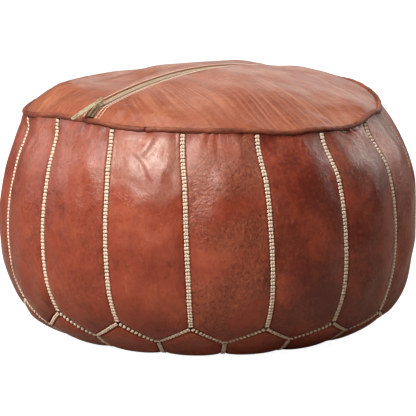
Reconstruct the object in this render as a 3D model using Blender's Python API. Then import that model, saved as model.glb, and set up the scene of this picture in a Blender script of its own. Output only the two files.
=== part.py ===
"""Round stitched-leather floor pouf with a zip across its domed top.

Metres, +Z up.  The pouf rests on z = 0 and its belly is centred on the Z axis.
Azimuths run from -Y (the end of the zip where the slider sits) towards +X.
"""

import math

import bmesh
import bpy
from mathutils import Vector

# ---- layout of the leather cover ----
PANELS = 16
PITCH = 2 * math.pi / PANELS
FIRST_SEAM = math.radians(10.0)
LEATHER = 0.0020
GAP = 0.0003

# Outline of the cover as (radius, height), from the centre disc out and up to the rim
PROFILE = (
    (0.0600, 0.0000),  # edge of the centre disc
    (0.1920, 0.0000),  # edge of the flat footprint
    (0.2335, 0.0206),  # low points of the zigzag seam
    (0.2565, 0.0451),  # high points of the zigzag seam
    (0.2768, 0.0941),
    (0.2801, 0.1655),  # belly
    (0.2687, 0.2394),
    (0.2544, 0.2783),
    (0.2405, 0.3092),  # rim, at the centre of the welt
)
AT_DISC, AT_FOOT, AT_ZIG_LOW, AT_ZIG_HIGH, AT_BELLY, AT_RIM = 0.0, 1.0, 2.0, 3.0, 5.0, 8.0
DISC_RADIUS = PROFILE[0][0]
DISC_RISE = 0.0220  # width of the disc's rim that the stitching draws up
ZIG_RUN = 0.0340  # slant distance between the zigzag's low and high points
ZIG_SLOPE = math.radians(35.0)

# Hand-stuffed unevenness
DOME_POWER = 2.22  # how square the dome's shoulders are
RIM_SHIFT = (-0.0070, -0.0033)
RIM_SADDLE = 0.0068  # the rim rides up at both ends of the zip
RIM_TILT = 0.0095
RIM_LOW_AT = math.radians(38.0)
BASE_TILT = 0.0050
BASE_HIGH_AT = math.radians(-52.0)
BASE_OVAL = 0.0100
SEAM_LEAN = math.radians(0.65)
PINCH = 0.0035  # how far each stitched seam sinks below the panels beside it
PINCH_POWER = 2.5
PINCH_REACH = 0.035
# Fuller and emptier places in the dome, as (azimuth, place, half width round the dome, height);
# places are shares of the rim's radius
DOME_SWELLS = (
    (math.radians(-46.0), 0.80, math.radians(26.0), 0.0114),
    (math.radians(-46.0), 0.45, math.radians(40.0), -0.0115),
    (math.radians(188.0), 0.75, math.radians(30.0), 0.0078),
    (math.radians(138.0), 0.75, math.radians(30.0), -0.0019),
)
SWELL_REACH = 0.20
SWELL_CLEAR = 0.035  # the swells die away this close to the zip
SWELL_EDGE = 8  # and, by this power, towards the rim
# places up the outline, as PROFILE points, where the unevenness starts and stops
RIM_FROM = 5.5
OVAL_TO = 4.2
PINCH_FADES_FROM = 7.2
PETAL_MIDDLE = 1.5

# Stitched cord over the seams
LACING_HALF = 0.0032
LACING_THICK = 0.0006

# Welt around the rim
WELT_RADIUS = 0.0035
WELT_LEATHER = 0.0012
WELT_CLEAR = 0.0008
TOP_EDGE_INSET = 0.0040  # from the welt's centre line to the edge of the top panels
CORD_RADIUS = WELT_RADIUS - WELT_LEATHER - GAP
WELT_STEPS = 48
WELT_SLIT_AT = math.radians(-135.0)
WELT_SLIT_HALF = math.radians(22.0)

# The zip holds the dome in a long arc, which turns down to the rim over the last of it
ARC_RADIUS = 0.8500
ARC_Y = 0.0020
CROWN_HEIGHT = 0.3562
ARC_Z = CROWN_HEIGHT - ARC_RADIUS
SHOULDER_FROM = 0.900  # of the rim's radius
SHOULDER_POWER = 1.5
ZIP_HOLDS = math.radians(24.0)  # how far round from the zip that shape is felt

# Zip, measured from the centre line of its coils and down from the dome's surface
LIP_LEFT = 0.0055
LIP_RIGHT_END = 0.0070
LIP_RIGHT_MIDDLE = 0.0115
COIL_DEPTH = 0.0036
COIL_RADIUS = 0.0011
COIL_OFFSET = 0.0023
TAPE_INNER = COIL_OFFSET + COIL_RADIUS + GAP
TAPE_OUTER = 0.0170
TAPE_THICK = 0.0008
TAPE_END = 0.0060  # the tapes stop this far inside the rim
COIL_END = 0.0130
STOP_LENGTH = 0.0030
ZIP_STEPS = 20  # between the shoulders
SHOULDER_STEPS = 6

# Slider and pull tab
SLIDER_FROM_RIM = 0.0300
PLATE_LENGTH = 0.0110
PLATE_HALF_NOSE = 0.0044
PLATE_HALF_TAIL = 0.0034
PLATE_THICK = 0.0010
PLATE_CLEAR = 0.0004
POST_HALF = 0.0009
POST_LENGTH = 0.0030
POST_FROM_NOSE = 0.0010
JOIN = 0.0002  # how far the parts of one casting run into each other
BRIDGE_LENGTH = 0.0092
BRIDGE_HALF = 0.0011
BRIDGE_BAR = 0.0012
BRIDGE_ROOM = 0.0006  # between the pull's pin and the bridge over it
PIVOT_HEIGHT = 0.0040  # above the dome's surface
PIN_RADIUS = 0.0008
TAB_LENGTH = 0.0580
TAB_DROOP = math.radians(4.0)  # how far the pull hangs below the line of the slider
TAB_THICK = 0.0014
TAB_ARM_HALF = 0.0034
TAB_ARM_WIDE = 0.0017
TAB_HALF = 0.0048
TAB_TIP_HALF = 0.0036
TAB_CORNER = 0.0012
TAB_EYE_START = -0.0012
TAB_EYE_END = 0.0075
TAB_SHOULDER = 0.0190
TAB_SLOT = (0.0450, 0.0550)
TAB_SLOT_HALF = 0.0013

# Inner bag and its filling, measured in from the cover's outer surface
BAG_SIDE = 0.0105
BAG_TOP = 0.0120
BAG_CLOTH = 0.0008
BAG_COLUMNS = 2 * PANELS
BAG_MOUTH = 0.20  # of the rim's radius
BAG_SIDE_ROWS = (AT_DISC, AT_FOOT, 2.0, 3.0, 4.0, 5.0, 6.0, 7.0, 7.6)
BAG_TOP_ROWS = (0.93, 0.75, 0.50, BAG_MOUTH)  # of the rim's radius


# ---- small helpers ----
def smoothstep(low, high, value):
    s = min(1.0, max(0.0, (value - low) / (high - low)))
    return s * s * (3 - 2 * s)


def mix(a, b, s):
    return a + (b - a) * s


def material(name, colour, roughness, metallic=0.0):
    mat = bpy.data.materials.new(name)
    mat.use_nodes = True
    shader = mat.node_tree.nodes["Principled BSDF"]
    shader.inputs["Base Color"].default_value = (*colour, 1.0)
    shader.inputs["Roughness"].default_value = roughness
    shader.inputs["Metallic"].default_value = metallic
    return mat


def add_object(name, points, faces, mat, smooth=True):
    """One closed solid, its faces turned outwards."""
    mesh = bpy.data.meshes.new(name)
    mesh.from_pydata([tuple(p) for p in points], [], faces)
    work = bmesh.new()
    work.from_mesh(mesh)
    bmesh.ops.recalc_face_normals(work, faces=work.faces)
    work.to_mesh(mesh)
    work.free()
    for polygon in mesh.polygons:
        polygon.use_smooth = smooth
    mesh.materials.append(mat)
    obj = bpy.data.objects.new(name, mesh)
    bpy.context.collection.objects.link(obj)
    return obj


def split(a, b, c, d):
    """A quad as two triangles, always cut the same way."""
    return [(a, b, c), (a, c, d)]


def grid_faces(columns, rows, closed=False):
    faces = []
    for r in range(rows - 1):
        for c in range(columns if closed else columns - 1):
            right = (c + 1) % columns
            low, high = r * columns, (r + 1) * columns
            faces += split(low + c, low + right, high + right, high + c)
    return faces


def skin(outer, inner, faces):
    """Two matching layers of points joined into one wall along every free edge."""
    count = len(outer)
    edges = {(f[i], f[(i + 1) % len(f)]) for f in faces for i in range(len(f))}
    solid = list(faces)
    solid += [tuple(count + i for i in reversed(f)) for f in faces]
    for a, b in sorted(edges):
        if (b, a) not in edges:
            solid += split(b, a, count + a, count + b)
    return outer + inner, solid


def swept(sections, closed=False):
    """Faces between equal sections of points, capped at both ends unless closed."""
    size = len(sections[0])
    points = [p for section in sections for p in section]
    faces = []
    for s in range(len(sections) if closed else len(sections) - 1):
        here, there = s * size, ((s + 1) % len(sections)) * size
        for i in range(size):
            j = (i + 1) % size
            faces += split(here + i, here + j, there + j, there + i)
    if not closed:
        faces.append(tuple(range(size)))
        faces.append(tuple(range(len(points) - size, len(points))))
    return points, faces


# ---- the cover's smooth surface ----
def profile_slope(i):
    """Direction of the outline at one of its points, flat over the footprint."""
    if i <= AT_FOOT:
        return 1.0, 0.0
    low = PROFILE[i - 1]
    high = PROFILE[min(i + 1, len(PROFILE) - 1)]
    reach = math.dist(low, PROFILE[i]) + math.dist(PROFILE[i], high)
    return (high[0] - low[0]) / reach, (high[1] - low[1]) / reach


def profile(t):
    """Radius and height of the outline, smooth through every PROFILE point."""
    i = min(int(t), len(PROFILE) - 2)
    s = t - i
    a, b = PROFILE[i], PROFILE[i + 1]
    if i < AT_FOOT:
        return mix(a[0], b[0], s), 0.0
    run = math.dist(a, b)
    da, db = profile_slope(i), profile_slope(i + 1)
    h = (2 * s**3 - 3 * s**2 + 1, s**3 - 2 * s**2 + s, 3 * s**2 - 2 * s**3, s**3 - s**2)
    return tuple(
        h[0] * a[k] + h[1] * run * da[k] + h[2] * b[k] + h[3] * run * db[k] for k in (0, 1)
    )


def rim_lift(azimuth):
    return RIM_SADDLE * math.cos(2 * azimuth) - RIM_TILT * math.cos(azimuth - RIM_LOW_AT)


def surface(azimuth, t):
    """A point of the cover's outside, before the seams are pulled in."""
    radius, height = profile(t)
    rim_share = smoothstep(RIM_FROM, AT_RIM, t)
    zig_share = smoothstep(0.0, 1.0, 1 - abs(t - AT_ZIG_HIGH))
    spread = smoothstep(AT_FOOT, AT_ZIG_LOW, t) * (1 - smoothstep(AT_ZIG_LOW, OVAL_TO, t))
    radius -= BASE_OVAL * spread * math.cos(2 * (azimuth - RIM_LOW_AT))
    height += rim_share * rim_lift(azimuth)
    height += zig_share * BASE_TILT * math.cos(azimuth - BASE_HIGH_AT)
    turned = azimuth
    if t > AT_ZIG_LOW:
        turned -= SEAM_LEAN * math.sin(math.pi * (t - AT_BELLY) / (AT_RIM - AT_BELLY))
    return Vector(
        (
            radius * math.sin(turned) + RIM_SHIFT[0] * rim_share,
            -radius * math.cos(turned) + RIM_SHIFT[1] * rim_share,
            height,
        )
    )


def outward(azimuth, t):
    step = 0.01
    t = min(max(t, step), AT_RIM - step)
    along = surface(azimuth + step, t) - surface(azimuth - step, t)
    up = surface(azimuth, t + step) - surface(azimuth, t - step)
    return along.cross(up).normalized()


def seam_share(azimuth, first):
    """0 midway between two seams, 1 on a seam, for seams that start at azimuth first."""
    across = ((azimuth - first) / PITCH) % 1.0
    return abs(2 * across - 1)


def zigzag(azimuth):
    """Where the zigzag seam crosses this azimuth: high on a side seam, low between."""
    return mix(AT_ZIG_LOW, AT_ZIG_HIGH, seam_share(azimuth, FIRST_SEAM))


def sink(azimuth, t):
    """How far the stitching pulls the leather in at this place."""
    edge = zigzag(azimuth)
    first = FIRST_SEAM if t >= edge else FIRST_SEAM + PITCH / 2
    to_zigzag = abs(t - edge) * ZIG_RUN
    to_disc = abs(profile(t)[0] - DISC_RADIUS) if t < AT_FOOT else PINCH_REACH
    free = 1 - seam_share(azimuth, first) ** PINCH_POWER
    for distance in (to_zigzag, to_disc):
        free *= 1 - max(0.0, 1 - distance / PINCH_REACH) ** PINCH_POWER
    return PINCH * (1 - free) * (1 - smoothstep(PINCH_FADES_FROM, AT_RIM, t))


def cover(azimuth, t, depth=0.0):
    """A point of the stitched cover, depth below its outside."""
    return surface(azimuth, t) - outward(azimuth, t) * (sink(azimuth, t) + depth)


def half_angle(t):
    return LACING_HALF / profile(t)[0]


# ---- the dome ----
def rim_height(azimuth):
    return PROFILE[-1][1] + rim_lift(azimuth)


RIM_RADIUS = PROFILE[-1][0]
CENTRE_X, CENTRE_Y = RIM_SHIFT


def arc_height(y):
    return ARC_Z + math.sqrt(ARC_RADIUS**2 - (y - ARC_Y) ** 2)


def turn(azimuth, middle):
    """How far azimuth is from middle, the short way round."""
    return abs((azimuth - middle + math.pi) % (2 * math.pi) - math.pi)


def fall(azimuth, share):
    """How far the dome has come down from the zip's arc, from 0 to 1 at the rim."""
    shoulder = max(0.0, (share - SHOULDER_FROM) / (1 - SHOULDER_FROM)) ** SHOULDER_POWER
    to_zip = min(turn(azimuth, 0.0), turn(azimuth, math.pi))
    near_zip = math.exp(-((to_zip / ZIP_HOLDS) ** 2))
    return mix(share**DOME_POWER, shoulder, near_zip)


def dome(x, y, depth=0.0):
    """A point of the top: an arc along the zip that falls away to the rim on both sides."""
    dx, dy = x - CENTRE_X, y - CENTRE_Y
    share = math.hypot(dx, dy) / RIM_RADIUS
    azimuth = math.atan2(dx, -dy)
    edge_y = CENTRE_Y - RIM_RADIUS * math.cos(azimuth)
    drop = arc_height(edge_y) - rim_height(azimuth)
    height = arc_height(y) - fall(azimuth, share) * drop
    free = (1 - math.exp(-((dx / SWELL_CLEAR) ** 2))) * (1 - share**SWELL_EDGE)
    for middle, place, width, swell in DOME_SWELLS:
        away = (turn(azimuth, middle) / width) ** 2 + ((share - place) / SWELL_REACH) ** 2
        height += free * swell * math.exp(-away)
    return Vector((x, y, height - depth))


def dome_inset(x, y, depth):
    """Like dome, but measured square to the surface."""
    step = 0.001
    slope_x = (dome(x + step, y).z - dome(x - step, y).z) / (2 * step)
    slope_y = (dome(x, y + step).z - dome(x, y - step).z) / (2 * step)
    normal = Vector((-slope_x, -slope_y, 1.0)).normalized()
    return dome(x, y) - normal * depth


def on_zip(y, height, x):
    """A point x beside the zip's centre line, height above the leather's surface there."""
    step = 0.0005
    ahead, behind = dome(CENTRE_X, y + step), dome(CENTRE_X, y - step)
    normal = Vector((0.0, behind.z - ahead.z, 2 * step)).normalized()
    return dome(CENTRE_X + x, y) + normal * height


ZIP_FRONT, ZIP_BACK = CENTRE_Y - RIM_RADIUS, CENTRE_Y + RIM_RADIUS
SHOULDER_FRONT = CENTRE_Y - RIM_RADIUS * SHOULDER_FROM
SHOULDER_BACK = CENTRE_Y + RIM_RADIUS * SHOULDER_FROM


# ---- leather pieces ----
def side_columns(start, t, zig_row):
    near = half_angle(AT_ZIG_HIGH if zig_row else t)
    hair = GAP / 2 / profile(t)[0]
    quarter = PITCH / 4
    offsets = (hair, near, quarter, 2 * quarter, 3 * quarter, PITCH - near, PITCH - hair)
    return [start + a for a in offsets]


SIDE_FRACTIONS = (0.10, 0.30, 0.50, 0.68, 0.85, 1.00)
ZIG_INSET = LACING_HALF / math.cos(ZIG_SLOPE) / ZIG_RUN
ZIG_HAIR = GAP / math.cos(ZIG_SLOPE) / ZIG_RUN
SIDE_TOP = AT_RIM - (WELT_RADIUS + WELT_CLEAR) / math.dist(PROFILE[-2], PROFILE[-1])


def side_rows(azimuth):
    edge = zigzag(azimuth)
    rows = [edge, edge + ZIG_INSET]
    rows += [mix(edge, SIDE_TOP, v) for v in SIDE_FRACTIONS]
    return rows


def build_side_panel(index, mat):
    start = FIRST_SEAM + index * PITCH
    outer, inner = [], []
    rows = len(SIDE_FRACTIONS) + 2
    for r in range(rows):
        nominal = mix(AT_ZIG_HIGH, AT_RIM, max(0, r - 1) / (rows - 2))
        for azimuth in side_columns(start, nominal, r < 2):
            t = side_rows(azimuth)[r] + (ZIG_HAIR if r == 0 else 0.0)
            outer.append(cover(azimuth, t))
            inner.append(cover(azimuth, t, LEATHER))
    points, faces = skin(outer, inner, grid_faces(7, rows))
    return add_object(f"side_panel_{index + 1:02d}", points, faces, mat)


DISC_INSET = LACING_HALF / (PROFILE[1][0] - DISC_RADIUS)


def petal_rows(azimuth):
    edge = zigzag(azimuth)
    return [edge, edge - ZIG_INSET, (edge + AT_FOOT) / 2, AT_FOOT, DISC_INSET, AT_DISC]


def petal_columns(start, row):
    reach = (AT_ZIG_LOW, AT_ZIG_LOW, PETAL_MIDDLE, AT_FOOT, DISC_INSET, AT_DISC)[row]
    near = half_angle(reach)
    hair = GAP / 2 / profile(reach)[0]
    quarter = PITCH / 4
    offsets = (hair, near, quarter, 2 * quarter, 3 * quarter, PITCH - near, PITCH - hair)
    return [start + a for a in offsets]


def build_base_petal(index, mat):
    start = FIRST_SEAM + (index - 0.5) * PITCH
    hairs = (-ZIG_HAIR, 0.0, 0.0, 0.0, 0.0, GAP / 2 / (PROFILE[1][0] - DISC_RADIUS))
    outer, inner = [], []
    for r, hair in enumerate(hairs):
        for azimuth in petal_columns(start, r):
            t = petal_rows(azimuth)[r] + hair
            outer.append(cover(azimuth, t))
            inner.append(cover(azimuth, t, LEATHER))
    points, faces = skin(outer, inner, grid_faces(7, len(hairs)))
    return add_object(f"base_petal_{index + 1:02d}", points, faces, mat)


def disc_point(azimuth, radius, depth=0.0):
    """A point of the centre disc; its rim is drawn up by the stitching."""
    rise = PINCH * max(0.0, 1 - (DISC_RADIUS - radius) / DISC_RISE) ** PINCH_POWER
    return Vector((radius * math.sin(azimuth), -radius * math.cos(azimuth), rise + depth))


def build_disc(mat):
    """The centre disc: flat in the middle, where the pouf stands on it."""
    flat = DISC_RADIUS - DISC_RISE
    radii = (DISC_RADIUS - GAP / 2, DISC_RADIUS - LACING_HALF, DISC_RADIUS - DISC_RISE / 2, flat)
    columns = 2 * PANELS
    layers = []
    for depth in (0.0, LEATHER):
        layer = []
        for radius in radii:
            for c in range(columns):
                azimuth = FIRST_SEAM + c * PITCH / 2
                layer.append(disc_point(azimuth, radius, depth))
        layers.append(layer)
    faces = grid_faces(columns, len(radii), closed=True)
    last = (len(radii) - 1) * columns
    faces.append(tuple(last + c for c in range(columns)))
    points, solid = skin(layers[0], layers[1], faces)
    return add_object("base_disc", points, solid, mat)


def build_lacing(mat):
    """The cream cord over every seam, as one net that lies just above the leather."""
    keys, points, faces = {}, [], []

    def corner(azimuth, t, radius=None):
        place = surface(azimuth, t) if radius is None else disc_point(azimuth, radius)
        key = tuple(round(v, 6) for v in place)
        if key not in keys:
            keys[key] = len(points)
            if radius is None:
                points.append((cover(azimuth, t), outward(azimuth, t)))
            else:
                points.append((place, Vector((0.0, 0.0, -1.0))))
        return keys[key]

    def cell(*corners):
        faces.extend(split(*corners))

    high, low = half_angle(AT_ZIG_HIGH), half_angle(AT_ZIG_LOW)
    quarter = PITCH / 4
    half = (0.0, high, quarter, 2 * quarter - low, 2 * quarter)
    offsets = half + tuple(PITCH - a for a in reversed(half[:-1]))
    row_count = len(SIDE_FRACTIONS) + 2
    for index in range(PANELS):
        start = FIRST_SEAM + index * PITCH
        # both sides of the zigzag, from one high point to the next
        for a, b in zip(offsets, offsets[1:]):
            a, b = start + a, start + b
            seam_a, seam_b = zigzag(a), zigzag(b)
            cell(
                corner(a, seam_a),
                corner(b, seam_b),
                corner(b, seam_b + ZIG_INSET),
                corner(a, seam_a + ZIG_INSET),
            )
            cell(
                corner(a, seam_a),
                corner(a, seam_a - ZIG_INSET),
                corner(b, seam_b - ZIG_INSET),
                corner(b, seam_b),
            )
        # up the side seam, half on each panel
        for r in range(1, row_count - 1):
            nominal = [
                mix(AT_ZIG_HIGH, AT_RIM, max(0, q - 1) / (row_count - 2)) for q in (r, r + 1)
            ]
            reach = [high if q < 2 else half_angle(n) for q, n in zip((r, r + 1), nominal)]
            for side in (-1, 1):
                here, there = start + side * reach[0], start + side * reach[1]
                quad = (
                    corner(start, side_rows(start)[r]),
                    corner(here, side_rows(here)[r]),
                    corner(there, side_rows(there)[r + 1]),
                    corner(start, side_rows(start)[r + 1]),
                )
                cell(*(quad if side > 0 else quad[::-1]))
        # along the seam between two petals, to the centre disc
        seam = start + PITCH / 2
        places = (AT_ZIG_LOW, AT_ZIG_LOW, PETAL_MIDDLE, AT_FOOT, DISC_INSET)
        reaches = [half_angle(t) for t in places]
        for r in range(1, 4):
            for side in (-1, 1):
                here, there = seam + side * reaches[r], seam + side * reaches[r + 1]
                quad = (
                    corner(seam, petal_rows(seam)[r]),
                    corner(seam, petal_rows(seam)[r + 1]),
                    corner(there, petal_rows(there)[r + 1]),
                    corner(here, petal_rows(here)[r]),
                )
                cell(*(quad if side > 0 else quad[::-1]))
        # round the centre disc
        near = half_angle(DISC_INSET)
        ring = (0.0, near, quarter, 2 * quarter, 3 * quarter, PITCH - near, PITCH)
        for a, b in zip(ring, ring[1:]):
            a, b = seam + a, seam + b
            cell(
                corner(a, DISC_INSET),
                corner(a, AT_DISC),
                corner(b, AT_DISC),
                corner(b, DISC_INSET),
            )
            inset = DISC_RADIUS - LACING_HALF
            cell(
                corner(a, AT_DISC),
                corner(a, 0.0, inset),
                corner(b, 0.0, inset),
                corner(b, AT_DISC),
            )
    outer = [p + n * (GAP + LACING_THICK) for p, n in points]
    inner = [p + n * GAP for p, n in points]
    solid_points, solid = skin(outer, inner, faces)
    return add_object("seam_lacing", solid_points, solid, mat)


def lip(y, side):
    """Distance from the zip's centre line to the edge of the leather beside it."""
    if side < 0:
        return LIP_LEFT
    along = abs(y - CENTRE_Y) / RIM_RADIUS
    return mix(LIP_RIGHT_MIDDLE, LIP_RIGHT_END, along**2)


def build_top_panel(name, side, mat):
    columns, rows = 17, 6
    edge = RIM_RADIUS - TOP_EDGE_INSET
    lip_reach = 0.8 * edge
    start = math.asin(lip(CENTRE_Y - edge, side) / edge)
    outer, inner = [], []
    for r in range(rows):
        s = (r / (rows - 1)) ** 1.5
        for c in range(columns):
            azimuth = mix(start, math.pi - start, c / (columns - 1))
            far = (edge * math.sin(azimuth), -edge * math.cos(azimuth))
            near_y = -lip_reach * math.cos(azimuth)
            near = (lip(CENTRE_Y + near_y, side), near_y)
            x = CENTRE_X + side * mix(near[0], far[0], s)
            y = CENTRE_Y + mix(near[1], far[1], s)
            outer.append(dome(x, y))
            inner.append(dome_inset(x, y, LEATHER))
    points, faces = skin(outer, inner, grid_faces(columns, rows))
    return add_object(name, points, faces, mat)


def ring_section(azimuth, angles_and_radii):
    """Points round the welt's centre line at this azimuth."""
    centre = surface(azimuth, AT_RIM)
    out = Vector((math.sin(azimuth), -math.cos(azimuth), 0.0))
    up = Vector((0.0, 0.0, 1.0))
    return [
        centre + out * (radius * math.cos(a)) + up * (radius * math.sin(a))
        for a, radius in angles_and_radii
    ]


def build_welt(cover_mat, cord_mat):
    around = 8
    first = WELT_SLIT_AT + WELT_SLIT_HALF
    sweep = 2 * math.pi - 2 * WELT_SLIT_HALF
    angles = [first + sweep * i / (around - 1) for i in range(around)]
    section = [(a, WELT_RADIUS) for a in angles]
    section += [(a, WELT_RADIUS - WELT_LEATHER) for a in reversed(angles)]
    azimuths = [2 * math.pi * i / WELT_STEPS for i in range(WELT_STEPS)]
    points, faces = swept([ring_section(a, section) for a in azimuths], closed=True)
    add_object("rim_welt_cover", points, faces, cover_mat)
    cord = [(2 * math.pi * i / 6, CORD_RADIUS) for i in range(6)]
    points, faces = swept([ring_section(a, cord) for a in azimuths], closed=True)
    add_object("rim_welt_cord", points, faces, cord_mat)


# ---- zip ----
def zip_places(y_from, y_to):
    """Places along the zip, closer together over both shoulders."""
    return (
        [mix(y_from, SHOULDER_FRONT, i / SHOULDER_STEPS) for i in range(SHOULDER_STEPS)]
        + [mix(SHOULDER_FRONT, SHOULDER_BACK, i / ZIP_STEPS) for i in range(ZIP_STEPS)]
        + [mix(SHOULDER_BACK, y_to, i / SHOULDER_STEPS) for i in range(SHOULDER_STEPS + 1)]
    )


def zip_bar(name, section, places, mat):
    """A bar bent along the zip; section holds (x, height above the leather) points."""
    points, faces = swept([[on_zip(y, h, x) for x, h in section] for y in places])
    return add_object(name, points, faces, mat)


def box_section(x_from, x_to, low, high):
    return [(x_from, low), (x_to, low), (x_to, high), (x_from, high)]


def round_section(x, height, radius, sides):
    return [
        (
            x + radius * math.cos(2 * math.pi * i / sides),
            height + radius * math.sin(2 * math.pi * i / sides),
        )
        for i in range(sides)
    ]


def build_zip(tape_mat, coil_mat, metal_mat):
    tape_places = zip_places(ZIP_FRONT + TAPE_END, ZIP_BACK - TAPE_END)
    front, back = ZIP_FRONT + COIL_END, ZIP_BACK - COIL_END
    half_tape = TAPE_THICK / 2
    low, high = -COIL_DEPTH - COIL_RADIUS, -COIL_DEPTH + COIL_RADIUS
    for side, word in ((-1, "left"), (1, "right")):
        inner, outer = sorted((side * TAPE_INNER, side * TAPE_OUTER))
        section = box_section(inner, outer, -COIL_DEPTH - half_tape, -COIL_DEPTH + half_tape)
        zip_bar(f"zip_tape_{word}", section, tape_places, tape_mat)
        coil = round_section(side * COIL_OFFSET, -COIL_DEPTH, COIL_RADIUS, 6)
        zip_bar(f"zip_coil_{word}", coil, zip_places(front, back), coil_mat)
        middle = side * COIL_OFFSET
        clamp = box_section(middle - COIL_RADIUS, middle + COIL_RADIUS, low, high)
        zip_bar(f"zip_top_stop_{word}", clamp, (front - GAP - STOP_LENGTH, front - GAP), metal_mat)
    wide = COIL_OFFSET + COIL_RADIUS
    clamp = box_section(-wide, wide, low, high)
    zip_bar("zip_end_stop", clamp, (back + GAP, back + GAP + STOP_LENGTH), metal_mat)


def boxes_joined(name, prisms, mat):
    """Overlapping prisms joined into one solid; each is (outline in XY, low, high)."""
    target = None
    for number, (outline, low, high) in enumerate(prisms):
        bottom = [Vector((x, y, low)) for x, y in outline]
        top = [Vector((x, y, high)) for x, y in outline]
        points, faces = swept([bottom, top])
        piece = add_object(f"{name}_piece_{number}", points, faces, mat, smooth=False)
        if target is None:
            target = piece
            continue
        join = target.modifiers.new(f"join_{number}", "BOOLEAN")
        join.operation = "UNION"
        join.solver = "EXACT"
        join.object = piece
        piece.hide_render = True
        piece.display_type = "WIRE"
    target.name = name
    return target


def rectangle(x_from, x_to, y_from, y_to):
    return [(x_from, y_from), (x_to, y_from), (x_to, y_to), (x_from, y_to)]


def build_slider(mat):
    """Two plates either side of the coils, the post between them and the pull's bridge.

    Its origin is the centre of the zip's arc, so the dome's surface is at z = ARC_RADIUS.
    """
    coil = ARC_RADIUS - COIL_DEPTH
    plate_low = coil + COIL_RADIUS + PLATE_CLEAR
    plate_high = plate_low + PLATE_THICK
    half = PLATE_LENGTH / 2
    outline = [
        (-PLATE_HALF_NOSE, -half),
        (PLATE_HALF_NOSE, -half),
        (PLATE_HALF_NOSE, 0.0),
        (PLATE_HALF_TAIL, half),
        (-PLATE_HALF_TAIL, half),
        (-PLATE_HALF_NOSE, 0.0),
    ]
    below = 2 * coil - plate_low
    nose = -half + POST_FROM_NOSE
    post = rectangle(-POST_HALF, POST_HALF, nose, nose + POST_LENGTH)
    bridge_top = ARC_RADIUS + PIVOT_HEIGHT + PIN_RADIUS + BRIDGE_ROOM
    legs = BRIDGE_LENGTH / 2
    boxes = [
        (outline, plate_low, plate_high),
        (outline, below - PLATE_THICK, below),
        (post, below - JOIN, plate_low + JOIN),
    ]
    for y_from, y_to in ((-legs, -legs + BRIDGE_BAR), (legs - BRIDGE_BAR, legs)):
        leg = rectangle(-BRIDGE_HALF, BRIDGE_HALF, y_from, y_to)
        boxes.append((leg, plate_high - JOIN, bridge_top + JOIN))
    crown = rectangle(-BRIDGE_HALF, BRIDGE_HALF, -legs, legs)
    boxes.append((crown, bridge_top, bridge_top + BRIDGE_BAR))
    return boxes_joined("zip_slider", boxes, mat)


def build_pull_tab(mat):
    """A long flat pull. Its origin is its pin, and it points along -Y from there."""
    half = TAB_THICK / 2
    hole_half = TAB_ARM_HALF - TAB_ARM_WIDE
    slot_from, slot_to = TAB_SLOT
    blade = (
        # distance from the pin, half width there
        (TAB_EYE_END, TAB_ARM_HALF),
        (TAB_SHOULDER, TAB_HALF),
        (slot_from, TAB_HALF),
        (slot_to, TAB_TIP_HALF + JOIN),
        (TAB_LENGTH, TAB_TIP_HALF - TAB_CORNER),
    )
    outline = [(w, -d) for d, w in blade] + [(-w, -d) for d, w in reversed(blade)]
    prisms = [(outline, -half, half)]
    for side in (-1, 1):
        arm = [
            (side * hole_half, -TAB_EYE_START),
            (side * (TAB_ARM_HALF - TAB_CORNER / 2), -TAB_EYE_START),
            (side * TAB_ARM_HALF, TAB_EYE_START),
            (side * TAB_ARM_HALF, -TAB_EYE_END - JOIN),
            (side * hole_half, -TAB_EYE_END - JOIN),
        ]
        prisms.append((arm, -half, half))
    tab = boxes_joined("zip_pull_tab", prisms, mat)
    around = [2 * math.pi * i / 8 for i in range(8)]
    round_end = [(PIN_RADIUS * math.cos(a), PIN_RADIUS * math.sin(a)) for a in around]
    pin_half = hole_half + JOIN
    pin = [[Vector((x, y, z)) for y, z in round_end] for x in (-pin_half, pin_half)]
    points, faces = swept(pin)
    bar = add_object("zip_pull_tab_pin", points, faces, mat, smooth=False)
    slot = rectangle(-TAB_SLOT_HALF, TAB_SLOT_HALF, -slot_to, -slot_from)
    points, faces = swept([[Vector((x, y, z)) for x, y in slot] for z in (-TAB_THICK, TAB_THICK)])
    cutter = add_object("zip_pull_tab_slot", points, faces, mat, smooth=False)
    for obj, operation in ((bar, "UNION"), (cutter, "DIFFERENCE")):
        change = tab.modifiers.new(obj.name, "BOOLEAN")
        change.operation = operation
        change.solver = "EXACT"
        change.object = obj
        obj.hide_render = True
        obj.display_type = "WIRE"
    return tab


# ---- what the cover holds ----
def inside_rows(column, depth_side, depth_top):
    """Rows of one column of the lining, from the middle of the base to the middle of the top."""
    azimuth = FIRST_SEAM + column * 2 * math.pi / BAG_COLUMNS
    rows = []
    for t in BAG_SIDE_ROWS:
        rows.append(surface(azimuth, t) - outward(azimuth, t) * depth_side)
    for share in BAG_TOP_ROWS:
        x = CENTRE_X + share * RIM_RADIUS * math.sin(azimuth)
        y = CENTRE_Y - share * RIM_RADIUS * math.cos(azimuth)
        rows.append(dome_inset(x, y, depth_top))
    return rows


def layer_of(depth_side, depth_top):
    columns = [inside_rows(c, depth_side, depth_top) for c in range(BAG_COLUMNS)]
    points = [columns[c][r] for r in range(len(columns[0])) for c in range(BAG_COLUMNS)]
    return points, len(columns[0])


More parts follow.
